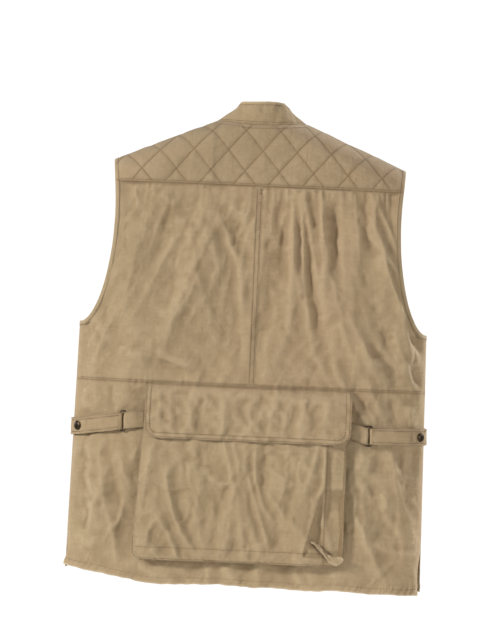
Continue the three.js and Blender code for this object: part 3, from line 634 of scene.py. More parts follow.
class Nodes:
    """A few words for building a material's nodes."""

    def __init__(self, name, roughness, metallic=0.0):
        self.material = bpy.data.materials.new(name)
        self.material.use_nodes = True
        self.tree = self.material.node_tree
        self.shader = self.tree.nodes["Principled BSDF"]
        self.shader.inputs["Roughness"].default_value = roughness
        self.shader.inputs["Metallic"].default_value = metallic

    def node(self, kind, **settings):
        made = self.tree.nodes.new(kind)
        for key, value in settings.items():
            setattr(made, key, value)
        return made

    def wire(self, source, target):
        self.tree.links.new(source, target)

    def read(self, name):
        return self.node("ShaderNodeAttribute", attribute_name=name)

    def stretched(self, source, scale):
        made = self.node("ShaderNodeMapping")
        made.inputs["Scale"].default_value = scale
        self.wire(source, made.inputs["Vector"])
        return made.outputs["Vector"]

    def noise(self, vector, scale, detail=3.0, roughness=0.55):
        made = self.node("ShaderNodeTexNoise")
        made.inputs["Scale"].default_value = scale
        made.inputs["Detail"].default_value = detail
        made.inputs["Roughness"].default_value = roughness
        self.wire(vector, made.inputs["Vector"])
        return made.outputs["Fac"]

    def math(self, operation, a, b):
        made = self.node("ShaderNodeMath", operation=operation)
        for socket, value in zip(made.inputs, (a, b)):
            if isinstance(value, (int, float)):
                socket.default_value = value
            else:
                self.wire(value, socket)
        return made.outputs[0]

    def range(self, value, low_in, high_in, low_out, high_out):
        made = self.node("ShaderNodeMapRange")
        for socket, number in zip(made.inputs[1:5], (low_in, high_in, low_out, high_out)):
            socket.default_value = number
        self.wire(value, made.inputs[0])
        return made.outputs[0]

    def blend(self, factor, first, second):
        made = self.node("ShaderNodeMix", data_type="RGBA")
        for socket, value in zip((made.inputs[0], made.inputs[6], made.inputs[7]), (factor, first, second)):
            if isinstance(value, (tuple, float, int)):
                socket.default_value = value
            else:
                self.wire(value, socket)
        return made.outputs[2]

    def place(self):
        return self.node("ShaderNodeTexCoord").outputs["Object"]

    def bands(self, vector, direction, scale, **numbers):
        made = self.node("ShaderNodeTexWave", wave_type="BANDS", bands_direction=direction)
        made.inputs["Scale"].default_value = scale
        for socket, number in numbers.items():
            made.inputs[socket].default_value = number
        self.wire(vector, made.inputs["Vector"])
        return made.outputs["Fac"]

    def feed(self, **sources):
        """Wires the shader's inputs; an underscore stands for a space."""
        for socket, source in sources.items():
            self.wire(source, self.shader.inputs[socket.replace("_", " ")])

    def fix(self, **numbers):
        """Sets the shader's inputs; an underscore stands for a space."""
        for socket, number in numbers.items():
            self.shader.inputs[socket.replace("_", " ")].default_value = number

    def bump(self, height, strength, distance):
        made = self.node("ShaderNodeBump")
        made.inputs["Strength"].default_value = strength
        made.inputs["Distance"].default_value = distance
        self.wire(height, made.inputs["Height"])
        self.feed(Normal=made.outputs["Normal"])


ALONG_WARP = (1.0, 0.06, 1.0)
ALONG_WEFT = (0.06, 1.0, 1.0)


def twill(name, colour, rib=1.15):
    """Washed cotton twill: diagonal ribs, slubby yarn, fading, pale worn edges and crests (the crests partly a
    painted highlight), and darker seams and hollows: seam dirt with painted shade.
    """
    n = Nodes(name, 0.9)
    place = n.place()
    cloth = n.read("cloth").outputs["Vector"]
    ribs = n.bands(cloth, "DIAGONAL", 0.222 / (rib * MM), Distortion=1.2, Detail=1.0)
    warp = n.noise(n.stretched(cloth, ALONG_WARP), 1500.0, 2.0)
    weft = n.noise(n.stretched(cloth, ALONG_WEFT), 1200.0, 2.0)
    yarns = n.math("ADD", warp, weft)
    faded = n.noise(place, 9.0, 4.0, 0.6)
    mottled = n.noise(place, 60.0, 5.0, 0.65)
    streaks = n.math("ADD", n.noise(n.stretched(cloth, (1.0, 0.05, 1.0)), 260.0, 3.0, 0.7),
                     n.noise(n.stretched(cloth, ALONG_WEFT), 220.0, 3.0, 0.7))
    warmth = n.noise(place, 5.0, 3.0, 0.55)
    grain = n.noise(cloth, 420.0, 4.0, 0.7)
    faint = tuple(np.array(TAN_PALE) * 0.3 + np.array(colour) * 0.7)
    # Each layer: what drives it, two of its values, how much of the colour each of them gets.
    layers = (
        (faded, (0.36, 0.66, 0.0, 1.0), faint),
        (warmth, (0.5, 0.7, 0.0, 0.5), TAN_WARM),
        (warmth, (0.3, 0.5, 0.45, 0.0), TAN_OLIVE),
        (streaks, (0.8, 1.2, 0.2, 0.0), TAN_DARK),
        (mottled, (0.45, 0.75, 0.0, 0.16), TAN_DARK),
        (grain, (0.35, 0.65, 0.36, 0.0), TAN_DARK),
        (yarns, (0.75, 1.25, 0.34, 0.0), TAN_DARK),
        (ribs, (0.0, 0.5, 0.22, 0.0), TAN_DARK),
    )
    tint = colour
    for driver, values, layer_colour in layers:
        tint = n.blend(n.range(driver, *values), tint, layer_colour)
    # Paler where worn, and on crests a painted highlight too; darker at seams and hollows: seam dirt with
    # painted shade.
    rubbed = n.math("MULTIPLY", n.read("worn").outputs["Fac"], n.range(mottled, 0.3, 0.6, 0.35, 1.0))
    dirt_and_shade_share = n.math("MULTIPLY", n.read("dirt_and_shade").outputs["Fac"], n.range(faded, 0.3, 0.7, 0.5, 1.0))
    tint = n.blend(dirt_and_shade_share, n.blend(rubbed, tint, TAN_PALE), TAN_DIRT_AND_SHADE)
    n.feed(Base_Color=tint, Roughness=n.range(mottled, 0.3, 0.7, 0.82, 0.97))
    n.fix(Sheen_Weight=0.12, Sheen_Roughness=0.6, Specular_IOR_Level=0.22)
    height = n.math("ADD", n.math("MULTIPLY", ribs, 0.5), n.math("MULTIPLY", yarns, 0.8))
    height = n.math("ADD", height, n.math("MULTIPLY", mottled, 1.6))
    crinkles = n.math("ABSOLUTE", n.math("SUBTRACT", n.noise(place, 75.0, 2.0, 0.4), 0.5), 0.0)
    height = n.math("SUBTRACT", height, n.math("MULTIPLY", crinkles, 7.0))
    n.bump(height, 0.7, 0.0006)
    return n.material


def thread(name, colour, dark):
    n = Nodes(name, 0.7)
    twist = n.noise(n.place(), 1400.0, 2.0)
    n.feed(Base_Color=n.blend(n.range(twist, 0.3, 0.7, 0.0, 1.0), dark, colour))
    n.bump(twist, 0.4, 0.0002)
    n.fix(Sheen_Weight=0.1)
    return n.material


def metal(name, colour, worn, roughness):
    """Coated metal, rubbed through to a paler tone, with fine scratches."""
    n = Nodes(name, roughness, 0.9)
    place = n.place()
    patches = n.noise(place, 420.0, 4.0, 0.6)
    scratches = n.noise(n.stretched(place, (1.0, 0.15, 0.5)), 3000.0, 2.0)
    edges = n.node("ShaderNodeNewGeometry").outputs["Pointiness"]
    rubbed = n.math("ADD", n.range(edges, 0.5, 0.62, 0.0, 0.8), n.range(patches, 0.52, 0.72, 0.0, 0.5))
    n.feed(Base_Color=n.blend(rubbed, colour, worn),
           Roughness=n.range(scratches, 0.3, 0.7, roughness - 0.1, roughness + 0.15))
    n.bump(n.math("ADD", patches, scratches), 0.25, 0.0002)
    return n.material


def tape_weave(name, colour, dark):
    """A woven tape with ribs across it, 1.1 mm apart."""
    n = Nodes(name, 0.85)
    place = n.place()
    ribs = n.bands(place, "Z", 0.314 / (1.1 * MM))
    warp = n.noise(n.stretched(place, (1.0, 1.0, 0.08)), 1600.0, 2.0)
    depth = n.math("ADD", ribs, warp)
    n.feed(Base_Color=n.blend(n.range(depth, 0.4, 1.5, 0.0, 1.0), dark, colour))
    n.bump(depth, 0.5, 0.0004)
    return n.material


TAN = linear(186, 163, 128)
TAN_PALE = linear(214, 193, 158)
TAN_DARK = linear(136, 111, 77)
# The darkest tan: seam dirt, and painted shade at seams, hollows and under parts.
TAN_DIRT_AND_SHADE = linear(116, 92, 60)
TAN_WARM = linear(190, 161, 128)
TAN_OLIVE = linear(177, 160, 122)
cotton = twill("cotton_twill_look", TAN)
quilted = twill("quilted_cotton_look", linear(178, 156, 124), rib=1.0)
trim = twill("seam_binding_look", linear(172, 152, 120), rib=0.9)
thread_look = thread("topstitch_thread", linear(112, 88, 56), linear(74, 56, 34))
quilt_thread = thread("quilting_thread", linear(128, 100, 66), linear(92, 68, 42))
tape_look = tape_weave("zip_tape_look", linear(120, 104, 80), linear(84, 70, 52))
snap_look = metal("snap_metal_look", linear(52, 44, 36), linear(116, 96, 66), 0.36)
ring_look = metal("ring_metal_look", linear(48, 42, 38), linear(120, 104, 84), 0.4)
brass_look = metal("zip_metal_look", linear(128, 104, 62), linear(176, 150, 98), 0.48)


# ---------- camera, light and floor, in metres ----------
CAMERA_PLACE = (0.0222, 3.06, -0.321)
CAMERA_ROLL = 2.5
LENS = 70.3
SENSOR = 24
LIT_PLACE = (0, 0, -0.35)
LIGHTS = (                      # name, place, size, power
    ("key_back", (5.4, 3.3, 2.0), 1.1, 450),
    ("key_front", (-5.3, -3.3, 2.6), 1.1, 500),
    ("fill_back", (-2.6, 2.2, -0.3), 1.6, 48),
    ("fill_front", (2.6, -2.2, 0.0), 1.6, 34),
)
AMBIENT = 0.17
BACKDROP = 1.05
FLOOR_RADIUS = 1.5
FLOOR_Z = -1.25


def camera():
    data = bpy.data.cameras.new("camera")
    data.sensor_fit = "VERTICAL"
    data.sensor_height = SENSOR
    data.lens = LENS
    made = bpy.data.objects.new("camera", data)
    made.location = CAMERA_PLACE
    level_turn = Euler((math.radians(90), 0, math.radians(180))).to_matrix()
    made.rotation_euler = (level_turn @ Matrix.Rotation(math.radians(CAMERA_ROLL), 3, "Z")).to_euler()
    bpy.context.scene.collection.objects.link(made)
    bpy.context.scene.camera = made


def area_light(name, place, size, power):
    data = bpy.data.lights.new(name, "AREA")
    data.shape = "DISK"
    data.size = size
    data.energy = power
    made = bpy.data.objects.new(name, data)
    made.location = place
    made.rotation_euler = (Vector(LIT_PLACE) - Vector(place)).to_track_quat("-Z", "Y").to_euler()
    bpy.context.scene.collection.objects.link(made)


def studio_world():
    """A white backdrop that lights the vest only faintly."""
    world = bpy.data.worlds.new("studio")
    world.use_nodes = True
    nodes, links = world.node_tree.nodes, world.node_tree.links
    nodes["Background"].inputs["Color"].default_value = (1, 1, 1, 1)
    strength = nodes.new("ShaderNodeMapRange")
    strength.inputs["To Min"].default_value = AMBIENT
    strength.inputs["To Max"].default_value = BACKDROP
    links.new(nodes.new("ShaderNodeLightPath").outputs["Is Camera Ray"], strength.inputs["Value"])
    links.new(strength.outputs["Result"], nodes["Background"].inputs["Strength"])
    return world


def studio_floor():
    bpy.ops.mesh.primitive_circle_add(vertices=96, radius=FLOOR_RADIUS, fill_type="NGON",
                                      location=(0, 0, FLOOR_Z))
    floor = bpy.context.object
    floor.name = "studio_floor"
    paint = Nodes("floor_paint", 0.8)
    speck = paint.range(paint.noise(paint.place(), 14.0, 5.0), 0.3, 0.7, 0.0, 1.0)
    paint.feed(Base_Color=paint.blend(speck, (0.80, 0.79, 0.77, 1), (0.86, 0.855, 0.84, 1)))
    floor.data.materials.append(paint.material)


camera()
bpy.context.scene.view_settings.view_transform = "Standard"
bpy.context.scene.world = studio_world()
for light in LIGHTS:
    area_light(*light)
studio_floor()


# ---------- finishing a piece ----------
def label(piece, nodes):
    if nodes:
        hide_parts(*nodes)
    return piece


def settle(piece, body, nodes=()):
    """A piece that keeps its shape and moves with one body."""
    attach(piece, body)
    return label(piece, nodes)


def bend(piece, ramp, nodes=()):
    """A piece whose transform is baked into its mesh; the ramp is not used."""
    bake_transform(piece)
    return label(piece, nodes)


def sew(name, runs, body="vest", look=thread_look, slot="cotton_twill", **sizes):
    """Rows of stitches that move with one body."""
    settle(stitch_rows(name, runs, look, **sizes), body)


# ---------- yokes ----------
DIAMOND_WIDE = 55
DIAMOND_SLOPE = 1.2
QUILT_PUFF = 1.7
QUILT_LINES = ((-1, 5), (1, -11))       # each family's lean, and how far it is shifted
QUILT_WRAP = 0.28                       # share of the shoulder's turn that counts as height
QUILT_REACH = 232
ROLL = 1.3                              # crowds the rows towards the shoulder
QUILT_THREAD = {"look": quilt_thread, "slot": "quilted_cotton"}
QUILTING = {**QUILT_THREAD, "pitch": 3.5, "radius": 0.4}


def quilt_rise(side, x, z):
    """Height above the seam, partly counted along the cloth where it rolls over the shoulder."""
    return (z - yoke_seam(side)) + QUILT_WRAP * (BACK_DEPTH - np.abs(skin(side, x, z)[0][..., 1]))


def quilt_distance(side, x, z):
    """Distance to the nearest quilting line."""
    rise = quilt_rise(side, x, z)
    slant = math.sin(math.atan(DIAMOND_SLOPE))
    lines = []
    for lean, shift in QUILT_LINES:
        phase = (x - shift + lean * rise / DIAMOND_SLOPE) / DIAMOND_WIDE
        lines.append(np.abs(phase - np.round(phase)) * DIAMOND_WIDE * slant)
    return np.minimum(*lines)


def yoke_offset(side, x, z):
    """Quilted padding that thins out towards the seam, the armhole and the neck."""
    border = np.minimum(z - yoke_seam(side), edge_half(z) - np.abs(x))
    neck_band = smooth((top_z(side, x) - z + (4 if side == BACK else 3)) / 9)
    puff = 1 - np.exp(-quilt_distance(side, x, z) / 5.0)
    wobble = 0.6 * waves(x, z, 28, 71) + 0.9 * waves(x, z, 75, 72)
    padding = smooth(border / 12) * neck_band * (QUILT_PUFF * puff + 0.45 * wobble)
    return 0.5 + padding - 0.35 * bell(border - 4, 1.2)


def on_yoke(side, x, z, lift=0.05):
    point, normal = skin(side, x, z)
    return point + normal * (yoke_offset(side, x, z)[..., None] + lift), normal


def yoke_x(x, z):
    """Draws a column in where the armhole cuts into the yoke."""
    drawn_in = armhole_half(z) / SHOULDER_HALF
    return x * mix(1.0, drawn_in, smooth((np.abs(x) - NECK_HALF) / (SHOULDER_HALF - NECK_HALF)))


def yoke(side, name, start, end, nodes):
    columns = spaced(start, end, 1.9)
    turn = np.linspace(0, ROLL, 86 if side == BACK else 100)
    x, t = np.meshgrid(columns, (1 - np.cos(turn)) / (1 - math.cos(ROLL)))
    z = mix(top_z(side, x), yoke_seam(side) + 0.1, t)
    x = yoke_x(x, z)
    outer, normal = on_yoke(side, x, z, 0)
    # Painted shade along the quilting's grooves; the neck and seam edges darken too, with seam dirt and painted
    # shade.
    lines = 0.75 * np.exp(-quilt_distance(side, x, z) / 0.9)
    piece = shell(name, outer, normal, quilted, QUILT_CLOTH, dark=(0, 0, 0.6, 0.9), painted_shade=lines)
    settle(piece, "vest", nodes)


def quilt_runs(side, x_low, x_high):
    """The quilting's stitch lines, cut off at the yoke's edges."""
    runs = []
    for lean, shift in QUILT_LINES:
        for k in range(-9, 10):
            z = np.linspace(yoke_seam(side) + 3.5, 16, 120)
            x = np.full_like(z, shift + k * DIAMOND_WIDE)
            for _ in range(12):
                rise = quilt_rise(side, np.clip(x, -QUILT_REACH, QUILT_REACH), z)
                x = shift + k * DIAMOND_WIDE - lean * rise / DIAMOND_SLOPE
            inside = (x > x_low) & (x < x_high) & (np.abs(x) < armhole_half(z) - 5)
            inside &= z < top_z(side, x) - 2.2
            if inside.sum() < 6:
                continue
            first, last = np.flatnonzero(inside)[[0, -1]]
            runs.append(on_yoke(side, x[first:last + 1], z[first:last + 1]))
    return runs


yoke(BACK, "back_yoke_quilted", -SHOULDER_HALF, SHOULDER_HALF, ["back_yoke"])
seam_x = np.linspace(-226, 226, 380)
seam_run = on_yoke(BACK, seam_x, BACK_YOKE_Z + 3.6 + 0 * seam_x)
sew("back_yoke_quilting", [*quilt_runs(BACK, -228, 228), seam_run], **QUILTING)
for hand, sign in SIDES:
    start, end = sorted((sign * (FOLD_X + GAP), sign * SHOULDER_HALF))
    yoke(FRONT, f"front_yoke_quilted_{hand}", start, end, [f"front_yoke_{hand}"])
    sew(f"front_yoke_quilting_{hand}", quilt_runs(FRONT, start + 3, end - 3), **QUILTING)


# ---------- body panels ----------
VENT_TOP = HEM_Z + 83           # the side seam is left open below this
HEM_BAND = 11
LAP = 0.1                       # panels end this close to the seams they meet at
PANEL_STEP = 3.0
PIT_CROWD = 26                  # rows are closer than that over this height above the armhole's foot


def hem_line(side, x):
    """The hem's height: it rides up at the wearer's left, the back more than the front under it."""
    wave = 1.3 * waves(x, 0 * x, 70, 81) + 0.5 * waves(x, 0 * x, 24, 82)
    if side == FRONT:
        return HEM_Z - 1.5 + wave * 0.7 + 15 * smooth((x - 120) / 165)
    return HEM_Z + wave - 4 * smooth((-150 - x) / 120) + 20 * smooth((x - 120) / 165)


def hem_offset(x, z, line):
    """A turned-up band, thicker than the cloth above, puckered between its stitches."""
    above = z - line
    band = smooth((HEM_BAND + 1.2 - above) / 1.6)
    drift = waves(x, 0 * x, 35, 83) * 3
    near = np.exp(-np.maximum(above - HEM_BAND, 0) / 5) * (0.6 + 0.4 * waves(x, 0 * x, 60, 84))
    pucker = 0.6 * ripple(x + drift + above * 0.5, 9.5) * near
    return 0.7 * band - 0.7 * bell(above - HEM_BAND + 1.5, 1.3) + pucker


def back_edge(sign, z):
    """The lower back's side edge, drawn in where the side seam is left open at the hem."""
    return sign * (edge_half(z) - 7.5 * smooth((VENT_TOP - z) / 60) * (1.0 if sign < 0 else 0.6))


def panel_offset(side, x, z):
    line = hem_line(side, x)
    low_part = smooth((HEM_Z + 60 - z) / 20)
    flip = 7 * smooth((x - 170) / 90) * smooth((line + 26 - z) / 30) if side == BACK else 0
    return low_part * hem_offset(x, z, line) + flip


def panel(side, name, inner, outer_edge, rows, ends, worn=(0, 0, 0, 0), dark=(0, 0, 0, 0), whole=False):
    """Cloth between two edges, each a function of height. Rows go from 0 at its top to 1 at its foot, and
    columns crowd where the body turns: at the outer edge, or at both edges of a whole panel."""
    top, foot = ends
    length = CHEST_HALF * math.pi / 2 * (2 if whole else 1)
    columns = spaced(0, length, PANEL_STEP) / length
    crowd = (1 - np.cos(math.pi * columns)) / 2 if whole else np.sin(math.pi / 2 * columns)
    s, t = np.meshgrid(crowd, rows)
    x = mix(inner(t * 0 + PIT_Z), outer_edge(t * 0 + PIT_Z), s)
    for _ in range(3):
        z = mix(top(x), foot(x), t)
        x = mix(inner(z), outer_edge(z), s)
    normal = skin(side, x, z)[1]
    outer = raised(side, x, z, panel_offset(side, x, z))
    return shell(name, outer, normal, cotton, CLOTH, worn, dark, reach=2.2)


def rows_between(high_z, low_z):
    """Row fractions from top to foot, crowded where the armhole turns sharply into the side."""
    z = spaced(high_z, low_z, PANEL_STEP)
    if high_z > PIT_Z:
        crowd = PIT_Z + PIT_CROWD * np.linspace(1, 0, 13) ** 2
        z = z[(z > PIT_Z + PIT_CROWD + 1) | (z < PIT_Z - 1)]
        z = np.sort(np.concatenate([z, crowd]))[::-1]
    return (high_z - z) / (high_z - low_z)


def fixed(value):
    """An edge that stays at one place."""
    return lambda along: value + 0 * along


def edge_ramp(sign, z):
    return [(sign * x, 0, z) for x in EDGE_HINGE]


for hand, sign in SIDES:
    piece = panel(
        BACK, f"back_panel_cloth_{hand}",
        inner=fixed(sign * LAP), outer_edge=lambda z: sign * edge_half(z),
        rows=rows_between(BACK_YOKE_Z, WAIST_Z), ends=(fixed(BACK_YOKE_Z - LAP), fixed(WAIST_Z + LAP)),
        # Seam edges darkened: seam dirt with painted shade in the seams.
        dark=(0, 0.3, 0.9, 0.8),
    )
    settle(piece, "vest", [f"back_panel_{hand}"])

lower = panel(
    BACK, "lower_back_cloth",
    inner=lambda z: back_edge(-1, z), outer_edge=lambda z: back_edge(1, z),
    rows=rows_between(WAIST_Z, HEM_Z), ends=(fixed(WAIST_Z - LAP), lambda x: hem_line(BACK, x)),
    # Its waist seam edge is darkened: seam dirt with painted shade in the seam.
    worn=(0.35, 0.35, 0, 1.0), dark=(0, 0, 0.9, 0), whole=True,
)
settle(lower, "vest", ["lower_back_panel"])

for hand, sign in SIDES:
    # The front's body and its turned-back edge are one cloth, cut below the yoke.
    piece = panel(
        FRONT, f"front_panel_cloth_{hand}",
        inner=fixed(sign * EDGE_X), outer_edge=lambda z: sign * edge_half(z),
        rows=rows_between(FRONT_YOKE_Z, HEM_Z), ends=(fixed(FRONT_YOKE_Z - LAP), lambda x: hem_line(FRONT, x)),
        # Its yoke seam edge is darkened: seam dirt with painted shade in the seam.
        worn=(0.5, 0.2, 0, 1.0), dark=(0, 0, 0.8, 0),
    )
    bend(piece, edge_ramp(sign, -400), [f"front_panel_{hand}", f"front_placket_{hand}"])
    # Above the yoke seam the front edge is a strip of its own beside the quilting.
    s, t = np.meshgrid(spaced(sign * EDGE_X, sign * FOLD_X, 2.5), np.linspace(0, 1, 34))
    z = mix(front_neck_z(s), FRONT_YOKE_Z + LAP, t)
    # Some of its edges are darkened: seam dirt with painted shade in the seams.
    strip = shell(f"front_edge_top_{hand}", raised(FRONT, s, z, 0.2, 0), skin(FRONT, s, z)[1], cotton,
                  worn=(0.5, 0, 0.5, 0), dark=(0, 0.5, 0, 0.7))
    bend(strip, edge_ramp(sign, -100))

seam_x = np.linspace(-278, 278, 560)
hem_x = np.linspace(-280, 284, 560)
hem_z = hem_line(BACK, hem_x) + HEM_BAND - 1.5
sew("back_panel_stitches", [
    run_on(BACK, seam_x, WAIST_Z + 3.2, 0.15),
    run_on(BACK, hem_x, hem_z, panel_offset(BACK, hem_x, hem_z) + 0.15),
])


# ---------- centre back seam ----------
SEAM_STATIONS = np.array([-5.2, -4.9, -4.4, -3.2, -1.8, 0, 1.8, 3.2, 4.4, 4.9, 5.2])
SEAM_STITCH_X = 3.2

s, z = np.meshgrid(SEAM_STATIONS, spaced(BACK_YOKE_Z - 0.5, WAIST_Z + 0.5, 2.5))
ridge = 0.6 - 0.35 * bell(np.abs(s) - SEAM_STITCH_X, 0.9) + 0.25 * waves(s, z, 11, 91)
# Its sides are darkened a little: seam dirt with painted shade beside the seam.
felled = shell("centre_back_felled_seam", raised(BACK, s, z, ridge), skin(BACK, s, z)[1], trim, 1.0,
               worn=(0.2, 0.2, 0, 0), dark=(0.15, 0.3, 0, 0), reach=1.2)
settle(felled, "vest", ["centre_back_seam"])
seam_z = np.linspace(BACK_YOKE_Z - 3, WAIST_Z + 3, 320)
runs = [run_on(BACK, x, seam_z, 0.5) for x in (-SEAM_STITCH_X, SEAM_STITCH_X)]
sew("centre_seam_stitches", runs, slot="seam_binding", radius=0.6)


# ---------- armhole bindings ----------
BINDING_SECTION = outline(4.4, 1.6, 3.2, 16) + np.array([-1.5, 0])


def armhole_frames(sign, count=110):
    """The armhole's edge, down the back from the shoulder and up the front, with the ways across and out."""
    q = np.linspace(0, 1, count)
    z = mix(TIP_Z, PIT_Z, (1 - np.cos(math.pi * q)) / 2)
    x = sign * armhole_half(z)
    back_path, back_normal = skin(BACK, x, z)
    front_path, front_normal = skin(FRONT, x, z)
    path = np.concatenate([back_path[1:], front_path[-2::-1]])
    normal = np.concatenate([back_normal[1:], front_normal[-2::-1]])
    for _ in range(3):
        normal = unit(normal + np.roll(normal, 1, 0) + np.roll(normal, -1, 0))
    along = unit(np.roll(path, -1, 0) - np.roll(path, 1, 0))
    u = unit(np.cross(along, normal)) * sign
    v = unit(np.cross(u, along)) * sign
    v = v * np.sign(np.sum(v * normal, axis=1, keepdims=True))
    return path - v * 1.1, u, v


for hand, sign in SIDES:
    centre, u, v = armhole_frames(sign)
    far = np.arange(len(centre))[:, None]
    centre = centre + v * 0.25 * waves(far, 0 * far, 9, 101)
    binding = sweep(f"armhole_binding_tape_{hand}", centre, u, v, BINDING_SECTION, trim)
    settle(binding, "vest", [f"armhole_binding_{hand}"])
    below = slice(6, -6)
    inner = centre - u * 4.2
    runs = [((inner + v * way * 1.5)[below], (v * way)[below]) for way in (1, -1)]
    sew(f"armhole_stitches_{hand}", runs, slot="seam_binding", length=2.5, pitch=3.6)


# ---------- collar ----------
COLLAR_HEIGHT = 37
COLLAR_BASE = 0.6
COLLAR_ROWS = (4.5, COLLAR_HEIGHT - 5)          # heights of its two rows of stitches
COLLAR_LEANS = (10, 55, 25)                     # at the back, the sides and the front, in degrees
COLLAR_CUT = 113                                # where its loose ends begin, in degrees from the back
COLLAR_END = 180 - math.degrees(math.asin(EDGE_X / NECK_HALF))
COLLAR_HINGE = (119, 139)


def neck_seam(angle):
    """Where the collar is sewn on, at an angle in degrees round the neck from the back."""
    a = np.radians(angle)
    x = NECK_HALF * np.sin(a)
    back = np.abs(angle) <= 90
    held = np.clip(x, -NECK_HALF * 0.99999, NECK_HALF * 0.99999)
    z = np.where(back, back_neck_z(held), front_neck_z(held))
    y = np.where(back, skin(BACK, held, z)[0][..., 1] - GAP, skin(FRONT, held, z)[0][..., 1] + GAP)
    return np.stack([x, y + GAP * np.cos(a), z], -1)


def collar_point(angle, height, offset=0.0):
    """A point on the collar's outer face and the way that face looks."""
    seam = neck_seam(angle)
    middle = np.where(np.abs(angle) <= 90, COLLAR_LEANS[0], COLLAR_LEANS[2])
    lean = np.radians(mix(middle, COLLAR_LEANS[1], np.sin(np.radians(angle)) ** 2))[..., None]
    outward = unit(seam * np.array([1, 1, 0]))
    up = np.array([0, 0, 1.0])
    rise = up * np.cos(lean) - outward * np.sin(lean)
    face = up * np.sin(lean) + outward * np.cos(lean)
    tall = 1.03 + 0.02 * waves(angle, 0 * angle, 80, 111) + 0.1 * bell(np.abs(angle) - 54, 22)
    wave = waves(angle, height, 34, 112) * smooth(height / 20) + 0.35 * waves(angle, height, 14, 113)
    edge = 0.5 * sum(bell(height - row, 1.2) for row in COLLAR_ROWS)
    lift = np.asarray(offset + wave - edge)[..., None]
    return seam + rise * (COLLAR_BASE + height * tall)[..., None] + face * lift, face


def collar_piece(name, start, end, ends_worn):
    angles = np.linspace(start, end, max(14, int(abs(end - start) * 1.1)))
    a, h = np.meshgrid(angles, spaced(COLLAR_HEIGHT, 0, 2.4))
    point, face = collar_point(a, h)
    # Its foot, at the neck seam, is darkened: seam dirt with painted shade in the seam.
    return shell(name, point, face, cotton, 2.2, worn=(*ends_worn, 1.0, 0), dark=(0, 0, 0, 0.9), reach=2.4)


def collar_runs(start, end):
    angles = np.linspace(start, end, 160)
    return [collar_point(angles, row + 0 * angles, 0.1) for row in COLLAR_ROWS]


def collar_ramp(sign):
    """From where a loose end starts to bend to where it has bent, level with the collar's own height."""
    def at(angle, height):
        return collar_point(np.array([sign * angle]), np.array([height]))[0][0]

    start, end = (at(angle, 12.0) for angle in COLLAR_HINGE)
    halfway = sum(COLLAR_HINGE) / 2
    rise = unit(at(halfway, 30.0) - at(halfway, 2.0))
    across = end - start
    return [start, start + across - rise * np.dot(across, rise)]


collar = collar_piece("collar_stand", -COLLAR_CUT, COLLAR_CUT, (0, 0))
settle(collar, "vest", ["collar"])
sew("collar_stitches", collar_runs(-COLLAR_CUT, COLLAR_CUT))
neck_x = np.linspace(-72, 72, 90)
sew("neckline_stitches", [on_yoke(BACK, neck_x, back_neck_z(neck_x) - 6.5, 0.1)], **QUILT_THREAD)
for hand, sign in SIDES:
    end_angle = sign * COLLAR_END
    piece = collar_piece(f"collar_end_stand_{hand}", sign * (COLLAR_CUT + 0.1), end_angle, (0, 0.9))
    rows = stitch_rows(f"collar_end_stitches_{hand}", collar_runs(sign * COLLAR_CUT, end_angle), thread_look)
    bend(piece, collar_ramp(sign), [f"collar_end_{hand}"])
    bend(rows, collar_ramp(sign))


# ---------- pockets and flaps ----------
MOUTH_DROP = 17                 # a pocket's mouth is this far below its flap's seam
MOUTH_DEPTH = 8
FLAP_CLEAR = 2.7                # how far a flap hangs off its pocket
FLAP_CLOTH = 1.7
FLAP_ROWS = (2.2, 8.2)          # how far in its two rows of stitches are
FLAP_HINGE = (1, 13)            # a flap bends between these drops below its seam


def corner_inset(distance, radius):
    """How far a rounded corner's edge is drawn in, at a distance above the foot."""
    into = clamp((radius - distance) / radius)
    return radius * (1 - np.sqrt(np.maximum(0, 1 - into ** 2)))


class Pouch:
    """A pocket's outline and how far it stands off the body."""

    def __init__(self, side, seam_z, height, depth, corner, edges):
        self.side, self.seam_z, self.depth, self.corner = side, seam_z, depth, corner
        self.mouth_z = seam_z - MOUTH_DROP
        self.foot_z = self.mouth_z - height
        self.edges = edges

    def down(self, z):
        return clamp((self.mouth_z - z) / (self.mouth_z - self.foot_z))

    def out(self, z):
        return mix(MOUTH_DEPTH, self.depth, self.down(z))

    def border(self, x, z, rounding):
        """Distance to the pocket's nearest side or foot. Its corners count by rounding."""
        low_x, high_x = self.edges(self.down(z))
        beside = np.minimum(x - low_x, high_x - x)
        return np.minimum(beside - rounding * corner_inset(z - self.foot_z, self.corner), z - self.foot_z)

    def flap_rise(self, z):
        return mix(SEAT, FLAP_CLEAR + self.out(z), smooth((self.seam_z - z) / MOUTH_DROP))

    def grid(self, step, border=8):
        rows = spaced(self.mouth_z, self.foot_z, step, border=border)
        low_x, high_x = self.edges(self.down(rows))
        length = float(np.mean(high_x - low_x))
        columns = spaced(0, length, step, border=border) / length
        s, z = np.meshgrid(columns, rows)
        low_x, high_x = self.edges(self.down(z))
        turn = corner_inset(z - self.foot_z, self.corner)
        return mix(low_x + turn, high_x - turn, s), z


def outline_run(low_x, high_x, top_z_value, foot_z, corner, inset, step=1.2):
    """Places along a flap's or pocket's sides and foot, inset from its edge."""
    r = corner - inset
    left, right, foot = low_x + inset, high_x - inset, foot_z + inset
    turn = np.linspace(0, math.pi / 2, 16)
    down = np.arange(top_z_value, foot + r, -step)
    along = np.arange(left + r, right - r, step)
    xs = [left + 0 * down, left + r - r * np.cos(turn), along, right - r + r * np.sin(turn), right + 0 * down]
    zs = [down, foot + r - r * np.sin(turn), foot + 0 * along, foot + r - r * np.cos(turn), down[::-1]]
    return np.concatenate(xs), np.concatenate(zs)


